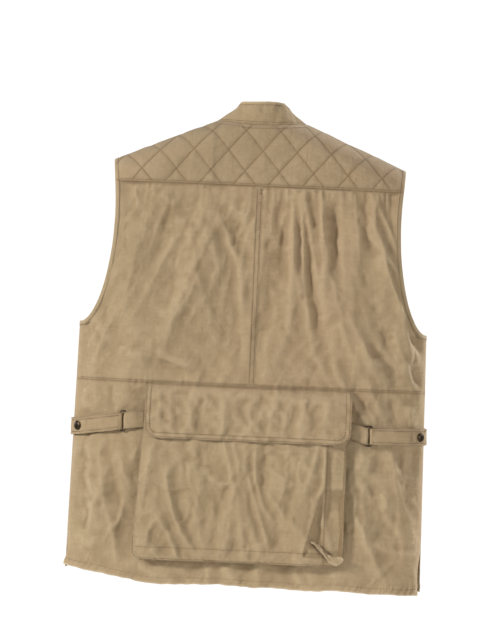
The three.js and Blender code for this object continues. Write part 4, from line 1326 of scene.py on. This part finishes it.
class Flap:
    """A flap over a pouch. span is its two sides, and folds are its own creases."""

    def __init__(self, pouch, span, height, corner, folds, seed):
        self.pouch, self.height, self.corner, self.folds, self.seed = pouch, height, corner, folds, seed
        self.low_x, self.high_x = span
        self.seam = pouch.seam_z
        self.foot = self.seam - height

    def share(self, z):
        """The part of the body's folds that it keeps: all at its seam, none on the pocket."""
        return 1 - smooth((self.seam - z) / 20)

    def offset(self, x, z):
        """How far its upper face stands off the body."""
        seed = self.seed
        turn = corner_inset(z - self.foot, self.corner)
        border = np.minimum(np.minimum(x - self.low_x, self.high_x - x) - turn * 0.9, z - self.foot)
        wander = 0.9 * waves(x, z, 46, seed) + 0.5 * waves(x, z, 19, seed + 1) + 0.5
        drift = waves(x + z, 0 * x, 40, seed + 2) * 3
        pucker = 0.35 * ripple(x - z + drift, 10) * np.exp(-np.maximum(border, 0) / 7)
        curl = 1.4 * smooth((12 - border) / 12) * waves(x, z, 70, seed + 3)
        crumples = 0.023 * self.height * crumple(x, z * 0.3, 52, seed + 9)
        own = wander + pucker + curl + crumples + creases(x, z, self.folds, 1.8)
        grooves = 0.4 * bell(border - FLAP_ROWS[0], 0.9) + 0.45 * bell(border - FLAP_ROWS[1], 1.1)
        lift = self.pouch.flap_rise(z) + FLAP_CLOTH + smooth((self.seam - z) / 14) * own - grooves
        lowest = self.pouch.out(z) + FLAP_CLOTH + 1.1
        return np.where(z < self.pouch.mouth_z, np.maximum(lift, lowest), lift)

    def cloth(self, name):
        length = self.high_x - self.low_x
        columns = spaced(0, length, 2.8) / length
        s, z = np.meshgrid(columns, spaced(self.seam - 0.2, self.foot, 2.6))
        turn = corner_inset(z - self.foot, self.corner)
        x = mix(self.low_x + turn, self.high_x - turn, s)
        outer, normal = run_on(self.pouch.side, x, z, self.offset(x, z), self.share(z))
        # Its edges are darkened: a painted shadow line round its outline and at its seam.
        return shell(name, outer, normal, cotton, FLAP_CLOTH,
                     worn=(0.35, 0.35, 0, 0.4), dark=(0.8, 0.8, 0.9, 0.8), reach=3.4)

    def stitches(self, name):
        runs = []
        for inset in FLAP_ROWS:
            xs, zs = outline_run(self.low_x, self.high_x, self.seam - 2, self.foot, self.corner, inset)
            runs.append(run_on(self.pouch.side, xs, zs, self.offset(xs, zs) + ON_TOP, self.share(zs)))
        xs = np.linspace(self.low_x + 2, self.high_x - 2, int((self.high_x - self.low_x) / 1.2))
        zs = self.seam - 2.6 + 0 * xs
        runs.append(run_on(self.pouch.side, xs, zs, self.offset(xs, zs) + ON_TOP))
        return stitch_rows(name, runs, thread_look, radius=0.6)

    def make(self, names, node):
        middle_x = (self.low_x + self.high_x) / 2
        middle_y = float(skin(self.pouch.side, middle_x, self.seam)[0][1])
        ramp = [(middle_x, middle_y, self.seam - drop) for drop in FLAP_HINGE]
        cloth = self.cloth(names[0])
        bend(cloth, ramp, [node])
        bend(self.stitches(names[1]), ramp)


# ---------- back pocket ----------
BACK_POCKET_LEFT_X = -157
GUSSET_LINE_X = -128            # the face's strip beyond this seam is part of the gusset
TUCK_TOP_Z = -577               # the folded-under corner starts here
BACK_CORNER = 14


def back_edges(down):
    return BACK_POCKET_LEFT_X + 0 * down, mix(165, 179, down)


back_pouch = Pouch(BACK, WAIST_Z, 264, 16, BACK_CORNER, back_edges)


def dog_ear(x, z):
    """The hollow where the pocket's lower right corner is folded under."""
    beside = (-101 - x) + (z + 668) * (-24 / 93)
    corner = smooth((TUCK_TOP_Z - z) / 22) * smooth((z + 696) / 8)
    return smooth((beside + 3) / 5) * corner * smooth((x - BACK_POCKET_LEFT_X - 1) / 3)


def back_pocket_offset(x, z):
    foot = back_pouch.foot_z
    border = back_pouch.border(x, z, 0.9)
    wander = 1.2 * waves(x, z, 85, 121) + 0.7 * waves(x, z, 34, 122)
    crumples = 4.3 * crumple(x, z * 0.4, 72, 123) + 0.9 * crumple(x, z * 0.6, 30, 124)
    on_strip = smooth((GUSSET_LINE_X + 4 - x) / 5)
    crumples = (crumples + creases(x, z, POCKET_WRINKLES)) * smooth(border / 14) * (1 - 0.75 * on_strip)
    pucker = 0.5 * ripple(x - z, 11) * np.exp(-np.maximum(border, 0) / 8)
    under_flap = smooth((z - WAIST_Z + BACK_FLAP_HEIGHT + 24) / 30)
    own = (wander + crumples + creases(x, z, POCKET_FOLDS, FOLD_GAIN)) * (1 - 0.85 * under_flap)
    strip = 1.3 * smooth((GUSSET_LINE_X - x) / 2.5)
    seam_line = 0.6 * bell(x - GUSSET_LINE_X - 2.5, 1.3) + 0.45 * bell(border - 2.4, 1.0)
    hem_dent = 0.45 * bell(z - foot - 20, 1.4) + 0.4 * bell(z - back_pouch.mouth_z + 14, 1.4)
    rolled = 1 - smooth(border / 2.0)
    hollows = strip + seam_line + hem_dent + rolled + 5.5 * dog_ear(x, z)
    return back_pouch.out(z) + own + pucker - hollows


def on_back_pocket(xs, zs):
    return run_on(BACK, xs, zs, back_pocket_offset(xs, zs) + ON_TOP, POCKET_SHARE)


def inner_perimeter(pouch, inset):
    """Down one side, along the foot and up the other, with the way inward."""
    r = pouch.corner - inset
    foot = pouch.foot_z + inset
    turn = np.linspace(0, math.pi / 2, 12)[1:-1]
    c, s = np.cos(turn), np.sin(turn)
    down = np.linspace(pouch.mouth_z - 1, foot + r, 90)
    low_x, high_x = pouch.edges(pouch.down(down))
    left, right = low_x[-1] + inset, high_x[-1] - inset
    along = np.linspace(left + r, right - r, 120)
    flat = 0 * down
    xs = [low_x + inset, left + r - r * c, along, right - r + r * s, (high_x - inset)[::-1]]
    zs = [down, foot + r - r * s, foot + 0 * along, foot + r - r * c, down[::-1]]
    nx = [flat + 1, c, 0 * along, -s, flat - 1]
    nz = [flat, s, 0 * along + 1, c, flat]
    return [np.concatenate(part) for part in (xs, zs, nx, nz)]


x, z = back_pouch.grid(2.2)
# Painted shade along the gusset seam's groove and round the tucked corner's rim; the pocket's sides and foot
# get a painted shadow line too.
tuck_rim = bell(dog_ear(x, z) - 0.4, 0.3) * smooth((TUCK_TOP_Z - z) / 22)
painted_shade_lines = 0.75 * bell(x - GUSSET_LINE_X - 1.5, 1.8) + 0.8 * tuck_rim
outer, normal = run_on(BACK, x, z, back_pocket_offset(x, z), POCKET_SHARE)
pocket = shell("back_pocket_cloth", outer, normal, cotton, 1.7, worn=(0.2, 0.3, 0.4, 0.2),
               dark=(0.8, 0.8, 0, 0.8), reach=2.4, painted_shade=painted_shade_lines)
settle(pocket, "vest", ["back_pocket_face"])

foot_x = np.linspace(-124, 172, 260)
upright_z = np.linspace(-520, -690, 150)
sew("back_pocket_stitches", [
    on_back_pocket(*outline_run(*back_edges(1), back_pouch.foot_z + 40, back_pouch.foot_z, BACK_CORNER, 2.4)),
    on_back_pocket(GUSSET_LINE_X + 2.5 + 0 * upright_z, upright_z),
    on_back_pocket(BACK_POCKET_LEFT_X + 3.5 + 0 * upright_z, upright_z),
    on_back_pocket(foot_x, back_pouch.foot_z + 20 + 0 * foot_x),
])

# The gusset: a wall from the pocket's edge to the body, with a pleat inward.
px, pz, nx, nz = inner_perimeter(back_pouch, 0.8)
q = np.linspace(0, 1, 13)[:, None]
pleat = 4.6 * np.sin(math.pi * q) ** 2 + 0.5 * waves(px + pz, q * 20, 30, 131) * np.sin(math.pi * q)
top_offset = back_pouch.out(pz) - 2.4
wall = raised(BACK, px + nx * pleat, pz + nz * pleat, mix(top_offset, SEAT + 0.3, q), mix(POCKET_SHARE, 1.0, q))
outward = skin(BACK, px - nx * 8, pz - nz * 8)[0] - skin(BACK, px, pz)[0]
# Painted shade: the whole gusset is darkened as if in the pocket's shadow, most at its foot against the body.
gusset = shell("back_pocket_gusset_cloth", wall, np.broadcast_to(outward, wall.shape), cotton, 1.0,
               worn=(0, 0, 0.2, 0), dark=(0, 0, 0, 0.8), reach=2.0, painted_shade=0.8)
settle(gusset, "vest", ["back_pocket_gusset"])

# The folded-out corner of the gusset, with its frayed edge.
CORNER_FOLD = [(-100, -667), (-112, -672), (-122, -681), (-133, -694), (-145, -699), (-157, -694)]
t = np.linspace(0, 1, 44)
knots = np.linspace(0, 1, len(CORNER_FOLD))
cx, cz = (np.interp(t, knots, [p[k] for p in CORNER_FOLD]) for k in (0, 1))
w = np.linspace(-1, 1, 9)[:, None]
fray = 0.8 * waves(t * 60, 0 * t, 7, 141)
wide = (3.0 + 7.0 * t) * np.sin(math.pi * clamp(t * 0.94 + 0.04)) ** 0.5 + fray
x, z = cx + 0.35 * w * wide, cz + w * wide
curl = back_pouch.out(z) + 0.8 + 3.0 * (1 - w ** 2) + 0.7 * waves(t * 60, w * 6, 12, 142)
fold = shell("back_pocket_corner_fold", *run_on(BACK, x, z, curl, POCKET_SHARE), cotton, 1.1,
             worn=(1, 1, 1, 0.8), reach=3.0)
settle(fold, "vest")

back_flap = Flap(back_pouch, (-161, 166), BACK_FLAP_HEIGHT, 20, [*FLAP_FOLDS, *FLAP_WRINKLES], 151)
back_flap.make(("back_flap_cloth", "back_flap_stitches"), "back_pocket_flap")


# ---------- snaps: profiles are (radius, height) ----------
CAP_PROFILE = ((0, 0), (7.2, 0), (7.5, 0.3), (7.5, 0.9), (7.1, 1.35), (6.3, 1.4), (6.0, 1.2), (5.6, 1.35),
               (5.0, 1.8), (3.6, 2.25), (1.8, 2.45), (0, 2.5))
STUD_PROFILE = ((0, 0), (4.3, 0), (4.5, 0.2), (4.4, 0.5), (2.7, 0.7), (2.2, 0.9), (2.4, 1.3), (2.1, 1.65),
                (0, 1.7))


def turned_part(name, profile, centre, axis, count):
    """A turned metal part that stands on centre along axis."""
    axis = unit(np.asarray(axis, float))
    side_way = unit(np.cross(axis, [0, 0, 1.0]))
    up_way = np.cross(side_way, axis)
    turn = np.linspace(0, 2 * math.pi, count, endpoint=False)
    rows = [centre + axis * h + r * (np.cos(turn)[:, None] * side_way + np.sin(turn)[:, None] * up_way)
            for r, h in profile[1:-1]]
    points = np.concatenate([*rows, [centre + axis * profile[0][1]], [centre + axis * profile[-1][1]]])
    faces = []
    last = len(rows) - 1
    for k in range(count):
        n = (k + 1) % count
        faces += [(r * count + k, r * count + n, (r + 1) * count + n, (r + 1) * count + k) for r in range(last)]
        faces.append((len(points) - 2, n, k))
        faces.append((len(points) - 1, last * count + k, last * count + n))
    mesh = new_mesh(name, points, faces)
    turn_out(mesh)
    return link(mesh, snap_look)


def snap(kind, hand, cap_body, cap_at, stud_at):
    """A snap's cap on one body and its stud on the vest. Each is placed by a centre and an axis."""
    cap = turned_part(f"{kind}_snap_dome_{hand}", CAP_PROFILE, *cap_at, 40)
    settle(cap, cap_body, [f"{kind}_snap_cap_{hand}"])
    stud = turned_part(f"{kind}_snap_post_{hand}", STUD_PROFILE, *stud_at, 28)
    settle(stud, "vest", [f"{kind}_snap_stud_{hand}"])


# ---------- front pockets ----------
FRONT_POCKETS = {
    "chest": {"inner": 76, "width": 124, "seam": -178, "height": 132, "depth": 15, "flap": 50},
    "lower": {"inner": 76, "width": 158, "seam": -478, "height": 214, "depth": 18, "flap": 62},
}
FRONT_CORNER = 14
PATCH_ROW = 5.0                 # how far in a patch's stitches are
SNAP_ABOVE_EDGE = 17


def patch_offset(pouch, flap_height, wrinkles, seed):
    """How far a front pocket's face stands off the body, as a function of place."""
    def offset(x, z):
        border = pouch.border(x, z, 0.95)
        own = waves(x, z, 60, seed) + 1.2 * crumple(x, z, 38, seed + 5) + creases(x, z, wrinkles)
        own = own * (1 - 0.85 * smooth((z - pouch.seam_z + flap_height + 6) / 12))
        grooves = 0.45 * bell(border - PATCH_ROW, 1.0) + 0.4 * bell(z - pouch.mouth_z + 16, 1.2)
        standing = pouch.out(z) + own * smooth(border / 12) - grooves
        return mix(SEAT, standing, smooth((border + 0.4) / 2.6) ** 0.7)
    return offset


def front_pocket(kind, hand, sign, shape, seed):
    width, height, flap_height = shape["width"], shape["height"], shape["flap"]
    ends = sorted((sign * shape["inner"], sign * (shape["inner"] + width)))
    pouch = Pouch(FRONT, shape["seam"], height, shape["depth"], FRONT_CORNER,
                  lambda down: (ends[0] + 0 * down, ends[1] + 0 * down))
    wrinkles = scattered(seed, 22, ends, (pouch.foot_z + 10, pouch.mouth_z - 40), height=(0.5, 1.4))
    offset = patch_offset(pouch, flap_height, wrinkles, seed)
    x, z = pouch.grid(3.0, border=9)
    outer, normal = run_on(FRONT, x, z, offset(x, z), PATCH_SHARE)
    patch = shell(f"{kind}_pocket_cloth_{hand}", outer, normal, cotton, 1.5, worn=(0.5, 0.5, 0.6, 0.5))
    settle(patch, "vest", [f"{kind}_pocket_{hand}"])
    xs, zs = outline_run(*ends, pouch.mouth_z - 2, pouch.foot_z, FRONT_CORNER, PATCH_ROW)
    sew(f"{kind}_pocket_stitches_{hand}", [run_on(FRONT, xs, zs, offset(xs, zs) + ON_TOP, PATCH_SHARE)])

    folds = scattered(seed + 50, 9, ends, (pouch.seam_z - flap_height, pouch.seam_z - 14))
    flap = Flap(pouch, (ends[0] - 3, ends[1] + 3), flap_height, FRONT_CORNER, folds, seed + 9)
    names = (f"{kind}_flap_cloth_{hand}", f"{kind}_flap_stitches_{hand}")
    body = f"{kind}_flap_{hand}"
    flap.make(names, body)
    at = (np.array(sum(ends) / 2), np.array(flap.foot + SNAP_ABOVE_EDGE))
    cap_at = run_on(FRONT, *at, float(flap.offset(*at)) - 0.15, float(flap.share(at[1])))
    snap(kind, hand, body, cap_at, run_on(FRONT, *at, float(offset(*at)) - 0.2, PATCH_SHARE))


for number, (kind, shape) in enumerate(FRONT_POCKETS.items()):
    for hand, sign in SIDES:
        front_pocket(kind, hand, sign, shape, 200 + 20 * number + (sign > 0))


# ---------- side adjusters ----------
TAB_HEIGHT = 26
TAB_ROW = TAB_HEIGHT / 2 - 3.6  # height of its rows of stitches, up and down from its middle
RING_WIRE = 1.2
RING_WIDE = 9
RING_TALL = 34
RING_BEND = 2.6
FOLD_RADIUS = 2.4
RING_OFF = 3.8                  # how far the ring's middle stands off the cloth
UNDER_LAYER = 1.4
OVER_LAYER = 6.2
RING_STRAP = 30
UP = np.array([0, 0, 1.0])


def tab_lean(sign, x):
    """How far the adjuster hangs above or below its level: the ring end is the higher one."""
    if sign < 0:
        return mix(7, -2, clamp((np.abs(x) - 160) / 26))
    return mix(10, -8, clamp((np.abs(x) - 178) / 105))


def plan(x, offset):
    """A place at the adjuster's height, and which way the cloth faces there, level."""
    x = np.asarray(x, float)
    lift = relief(BACK, x, TAB_Z + 0 * x)
    point, normal = skin(BACK, x, TAB_Z + 0 * x)
    level_normal = unit(normal * np.array([1, 1, 0]))
    return point + level_normal * np.asarray(offset + lift)[..., None], level_normal


def leaning(sign, x, height=0.0):
    return (height + tab_lean(sign, x))[..., None] * UP


def strap(name, path, sign, out_way, seed, worn=(0.3, 0.3, 0.3, 0.3)):
    """A flat strap that stands on edge along a path seen from above, and which way it faces."""
    along = np.gradient(path, axis=0)
    facing = unit(np.stack([along[:, 1], -along[:, 0], 0 * along[:, 0]], -1))
    facing = facing * (1 if np.sum(facing[0] * out_way) > 0 else -1)
    n, w = np.meshgrid(distances(path), spaced(TAB_HEIGHT / 2, -TAB_HEIGHT / 2, 2.6, border=6))
    edge = TAB_HEIGHT / 2 - np.abs(w)
    pucker = 0.3 * np.sin(2 * math.pi * n / 6.5 + waves(n, w, 30, seed + 20)) * np.exp(-edge / 4)
    swell = 0.35 * waves(n, w, 22, seed) - 0.35 * bell(edge - 3.6, 0.9) + pucker
    tall = w * (1 + 0.035 * waves(n, 0 * n, 17, seed + 30)) + 0.5 * waves(n, 0 * n, 45, seed + 40)
    outer = path + leaning(sign, path[:, 0], tall) + facing * (STRAP_CLOTH / 2 + swell)[..., None]
    # Its edges are darkened: seam dirt with painted shade at the strap's edges.
    look = {"worn": worn, "dark": (0.4, 0.4, 0.7, 0.7), "reach": 1.8}
    return shell(name, outer, np.broadcast_to(facing, outer.shape), cotton, STRAP_CLOTH, **look), facing


def half_turn(bar_x, towards):
    """The strap's way round a bar, and which way the cloth faces there."""
    middle, normal = plan(np.array(bar_x), RING_OFF)
    across = np.array([normal[1], -normal[0], 0]) * towards
    turn = np.linspace(0, math.pi, 15)[:, None]
    return middle - normal * FOLD_RADIUS * np.cos(turn) + across * FOLD_RADIUS * np.sin(turn), normal


def adjuster_ring(name, sign, fold_x):
    middle_x = sign * (fold_x - RING_WIDE / 2)
    centre = plan(np.array(middle_x), RING_OFF)[0]
    ends = plan(np.array([sign * fold_x, sign * (fold_x - RING_WIDE)]), RING_OFF)[0]
    across = unit(ends[0] - ends[1])
    wide, tall = RING_WIDE / 2 - RING_BEND, RING_TALL / 2 - RING_WIRE - RING_BEND
    centres, us = [], []
    for a, b, start in ((1, 1, 0), (-1, 1, 90), (-1, -1, 180), (1, -1, 270)):
        for turn in np.radians(np.linspace(start, start + 90, 8)):
            u = across * math.cos(turn) + UP * math.sin(turn)
            us.append(u)
            centres.append(centre + across * a * wide + UP * b * tall + u * RING_BEND)
    us = np.array(us)
    centres = np.array(centres) + leaning(sign, np.array(middle_x))
    turn = np.linspace(0, 2 * math.pi, 14, endpoint=False)
    section = np.stack([np.cos(turn), np.sin(turn)], -1) * RING_WIRE
    return sweep(name, centres, us, np.broadcast_to(np.cross(across, UP), us.shape), section, ring_look)


def waist_tab(hand, sign, fold_x, tab_edge):
    """The strap from the side seam, round the ring's outer bar and back over itself."""
    crowd = np.sin(np.linspace(0, math.pi / 2, 46))
    fold = half_turn(sign * fold_x, -sign)[0]
    under_x = sign * mix(fold_x + FOLD_RADIUS, tab_edge - GAP, crowd)[::-1]
    under, facing = plan(under_x, UNDER_LAYER)
    path = np.concatenate([under, fold[:-1], plan(sign * (fold_x + 0.3), OVER_LAYER)[0][None]])
    tab = strap(f"waist_tab_cloth_{hand}", path, sign, -facing[0], 301)[0]
    ramp = [plan(np.array(sign * fold_x), offset)[0] for offset in (2.6, 6.0)]
    bend(tab, ramp, [f"waist_tab_{hand}"])

    path, facing = plan(sign * mix(fold_x + 0.3, tab_edge - 3, crowd), OVER_LAYER)
    name = f"waist_tab_end_cloth_{hand}"
    tab_end, facing = strap(name, path, sign, facing[0], 302, (0, 0.5, 0.4, 0.4))
    settle(tab_end, f"tab_end_{hand}", [f"waist_tab_end_{hand}"])
    top = path + facing * 0.85
    runs = [(top + leaning(sign, path[:, 0], height), facing) for height in (TAB_ROW, -TAB_ROW)]
    point, facing = plan(np.array(sign * (tab_edge - 27)), OVER_LAYER)
    line = point + facing * 0.85 + leaning(sign, point[:1], np.linspace(-8, 8, 12))
    runs.append((line, np.broadcast_to(facing, line.shape)))
    sew(f"waist_tab_stitches_{hand}", runs, f"tab_end_{hand}", radius=0.5)


def ring_strap(hand, sign, start_x, bar_x):
    """The short strap from the back pocket, round the ring's inner bar and back."""
    fold, normal = half_turn(sign * bar_x, sign)
    under = plan(sign * np.linspace(start_x, bar_x - 3, 14), UNDER_LAYER)[0]
    q = np.linspace(0.12, 1, 12)
    over = plan(sign * mix(bar_x, start_x + 0.6, q), mix(OVER_LAYER, UNDER_LAYER + 2.0, smooth(q)))[0]
    path = np.concatenate([under, fold, over])
    piece = strap(f"ring_strap_cloth_{hand}", path, sign, -normal, 303)[0]
    settle(piece, "vest", [f"ring_strap_{hand}"])


for hand, sign in SIDES:
    pocket_x = float(back_edges(back_pouch.down(TAB_Z))[1 if sign > 0 else 0]) * sign
    bar_x = pocket_x + RING_STRAP
    fold_x = bar_x + RING_WIDE
    tab_edge = float(body_half(TAB_Z))
    waist_tab(hand, sign, fold_x, tab_edge)
    ring_strap(hand, sign, pocket_x + 0.2, bar_x)
    wire = adjuster_ring(f"tab_wire_{hand}", sign, fold_x)
    settle(wire, "vest", [f"tab_ring_{hand}"])
    snap_x = np.array(sign * (tab_edge - 13))
    seats = []
    for layer in (OVER_LAYER, UNDER_LAYER):
        point, axis = plan(snap_x, layer + STRAP_CLOTH / 2 - 0.1)
        seats.append((point + leaning(sign, snap_x), axis))
    snap("tab", hand, f"tab_end_{hand}", *seats)


# ---------- front edges: stitching and zip ----------
for hand, sign in SIDES:
    zs = np.linspace(FRONT_YOKE_Z - 2, HEM_Z + 6, 480)
    runs = [run_on(FRONT, sign * (EDGE_X + inset), zs, 0.1) for inset in (2.4, 9.0)]
    xs = sign * np.linspace(EDGE_X + 2, 279, 260)
    zs = hem_line(FRONT, xs) + HEM_BAND - 1.5
    runs.append(run_on(FRONT, xs, zs, panel_offset(FRONT, xs, zs) + ON_TOP))
    rows = stitch_rows(f"front_edge_stitches_{hand}", runs, thread_look)
    bend(rows, edge_ramp(sign, -400))

TOOTH_PITCH = 2.3
TOOTH = np.array([(-1.75, -1.1), (-1.0, -1.3), (1.2, -1.3), (1.75, -0.7),
                  (1.75, 0.7), (1.2, 1.3), (-1.0, 1.3), (-1.75, 1.1)])
TOOTH_LAYERS = ((-0.65, 0.82), (-0.45, 1.0), (0.45, 1.0), (0.65, 0.82))    # height and size of each
TOOTH_START = {"left": 0.3, "right": 0.75}      # in pitches, so that the two rows would mesh


def zip_teeth(hand, sign):
    low_corner, high_corner = low(f"zip_teeth_{hand}"), high(f"zip_teeth_{hand}")
    middle = (low_corner + high_corner) / 2
    profile = TOOTH * np.array([-sign, 1])
    sides = len(profile)
    points, faces = [], []
    for k in range(int((high_corner[2] - low_corner[2]) / TOOTH_PITCH)):
        z = low_corner[2] + TOOTH_PITCH * (k + TOOTH_START[hand])
        first = len(points)
        for height, size in TOOTH_LAYERS:
            points += [(middle[0] + a, middle[1] + b, z + height) for a, b in profile * size]
        for base in range(first, first + 3 * sides, sides):
            faces += [(base + j, base + (j + 1) % sides, base + sides + (j + 1) % sides, base + sides + j)
                      for j in range(sides)]
        faces.append(tuple(first + j for j in reversed(range(sides))))
        faces.append(tuple(first + 3 * sides + j for j in range(sides)))
    mesh = new_mesh(f"zip_tooth_row_{hand}", points, faces)
    turn_out(mesh)
    made = link(mesh, brass_look)
    mesh.shade_flat()
    return made


def rounded_copy(name, node, body, width):
    """A metal CAD part with its edges rounded."""
    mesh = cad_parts[node].data.copy()
    made = bpy.data.objects.new(name, mesh)
    bpy.context.scene.collection.objects.link(made)
    mesh.materials.clear()
    mesh.materials.append(brass_look)
    work = bmesh.new()
    work.from_mesh(mesh)
    bmesh.ops.remove_doubles(work, verts=work.verts, dist=1e-6)
    bmesh.ops.dissolve_limit(work, angle_limit=math.radians(1), verts=work.verts, edges=work.edges)
    sharp = [e for e in work.edges if len(e.link_faces) == 2 and e.calc_face_angle(0) > math.radians(25)]
    bmesh.ops.bevel(work, geom=sharp, offset=width * MM, segments=3, affect="EDGES", clamp_overlap=True)
    work.to_mesh(mesh)
    work.free()
    mesh.shade_smooth()
    settle(made, body, [node])


for hand, sign in SIDES:
    body = f"front_edge_{hand}"
    low_corner, high_corner = low(f"zip_tape_{hand}"), high(f"zip_tape_{hand}")
    s, z = np.meshgrid(spaced(low_corner[0], high_corner[0], 2.0, border=3),
                       spaced(high_corner[2], low_corner[2], 4.0))
    y = low_corner[1] + 0.12 * waves(s, z, 40, 401)
    outer = np.stack([s, y, z], -1)
    tape = shell(f"zip_tape_cloth_{hand}", outer, np.broadcast_to([0, -1.0, 0], outer.shape), tape_look, 0.8)
    settle(tape, body, [f"zip_tape_{hand}"])
    settle(zip_teeth(hand, sign), body, [f"zip_teeth_{hand}"])
    rounded_copy(f"zip_top_stop_metal_{hand}", f"zip_top_stop_{hand}", body, 0.5)
rounded_copy("zip_box_metal", "zip_box", "front_edge_left", 0.6)
rounded_copy("zip_pin_metal", "zip_pin", "front_edge_right", 0.5)
rounded_copy("zip_slider_metal", "zip_slider", "zip_slider", 0.3)
rounded_copy("zip_pull_metal", "zip_pull", "zip_pull", 0.35)
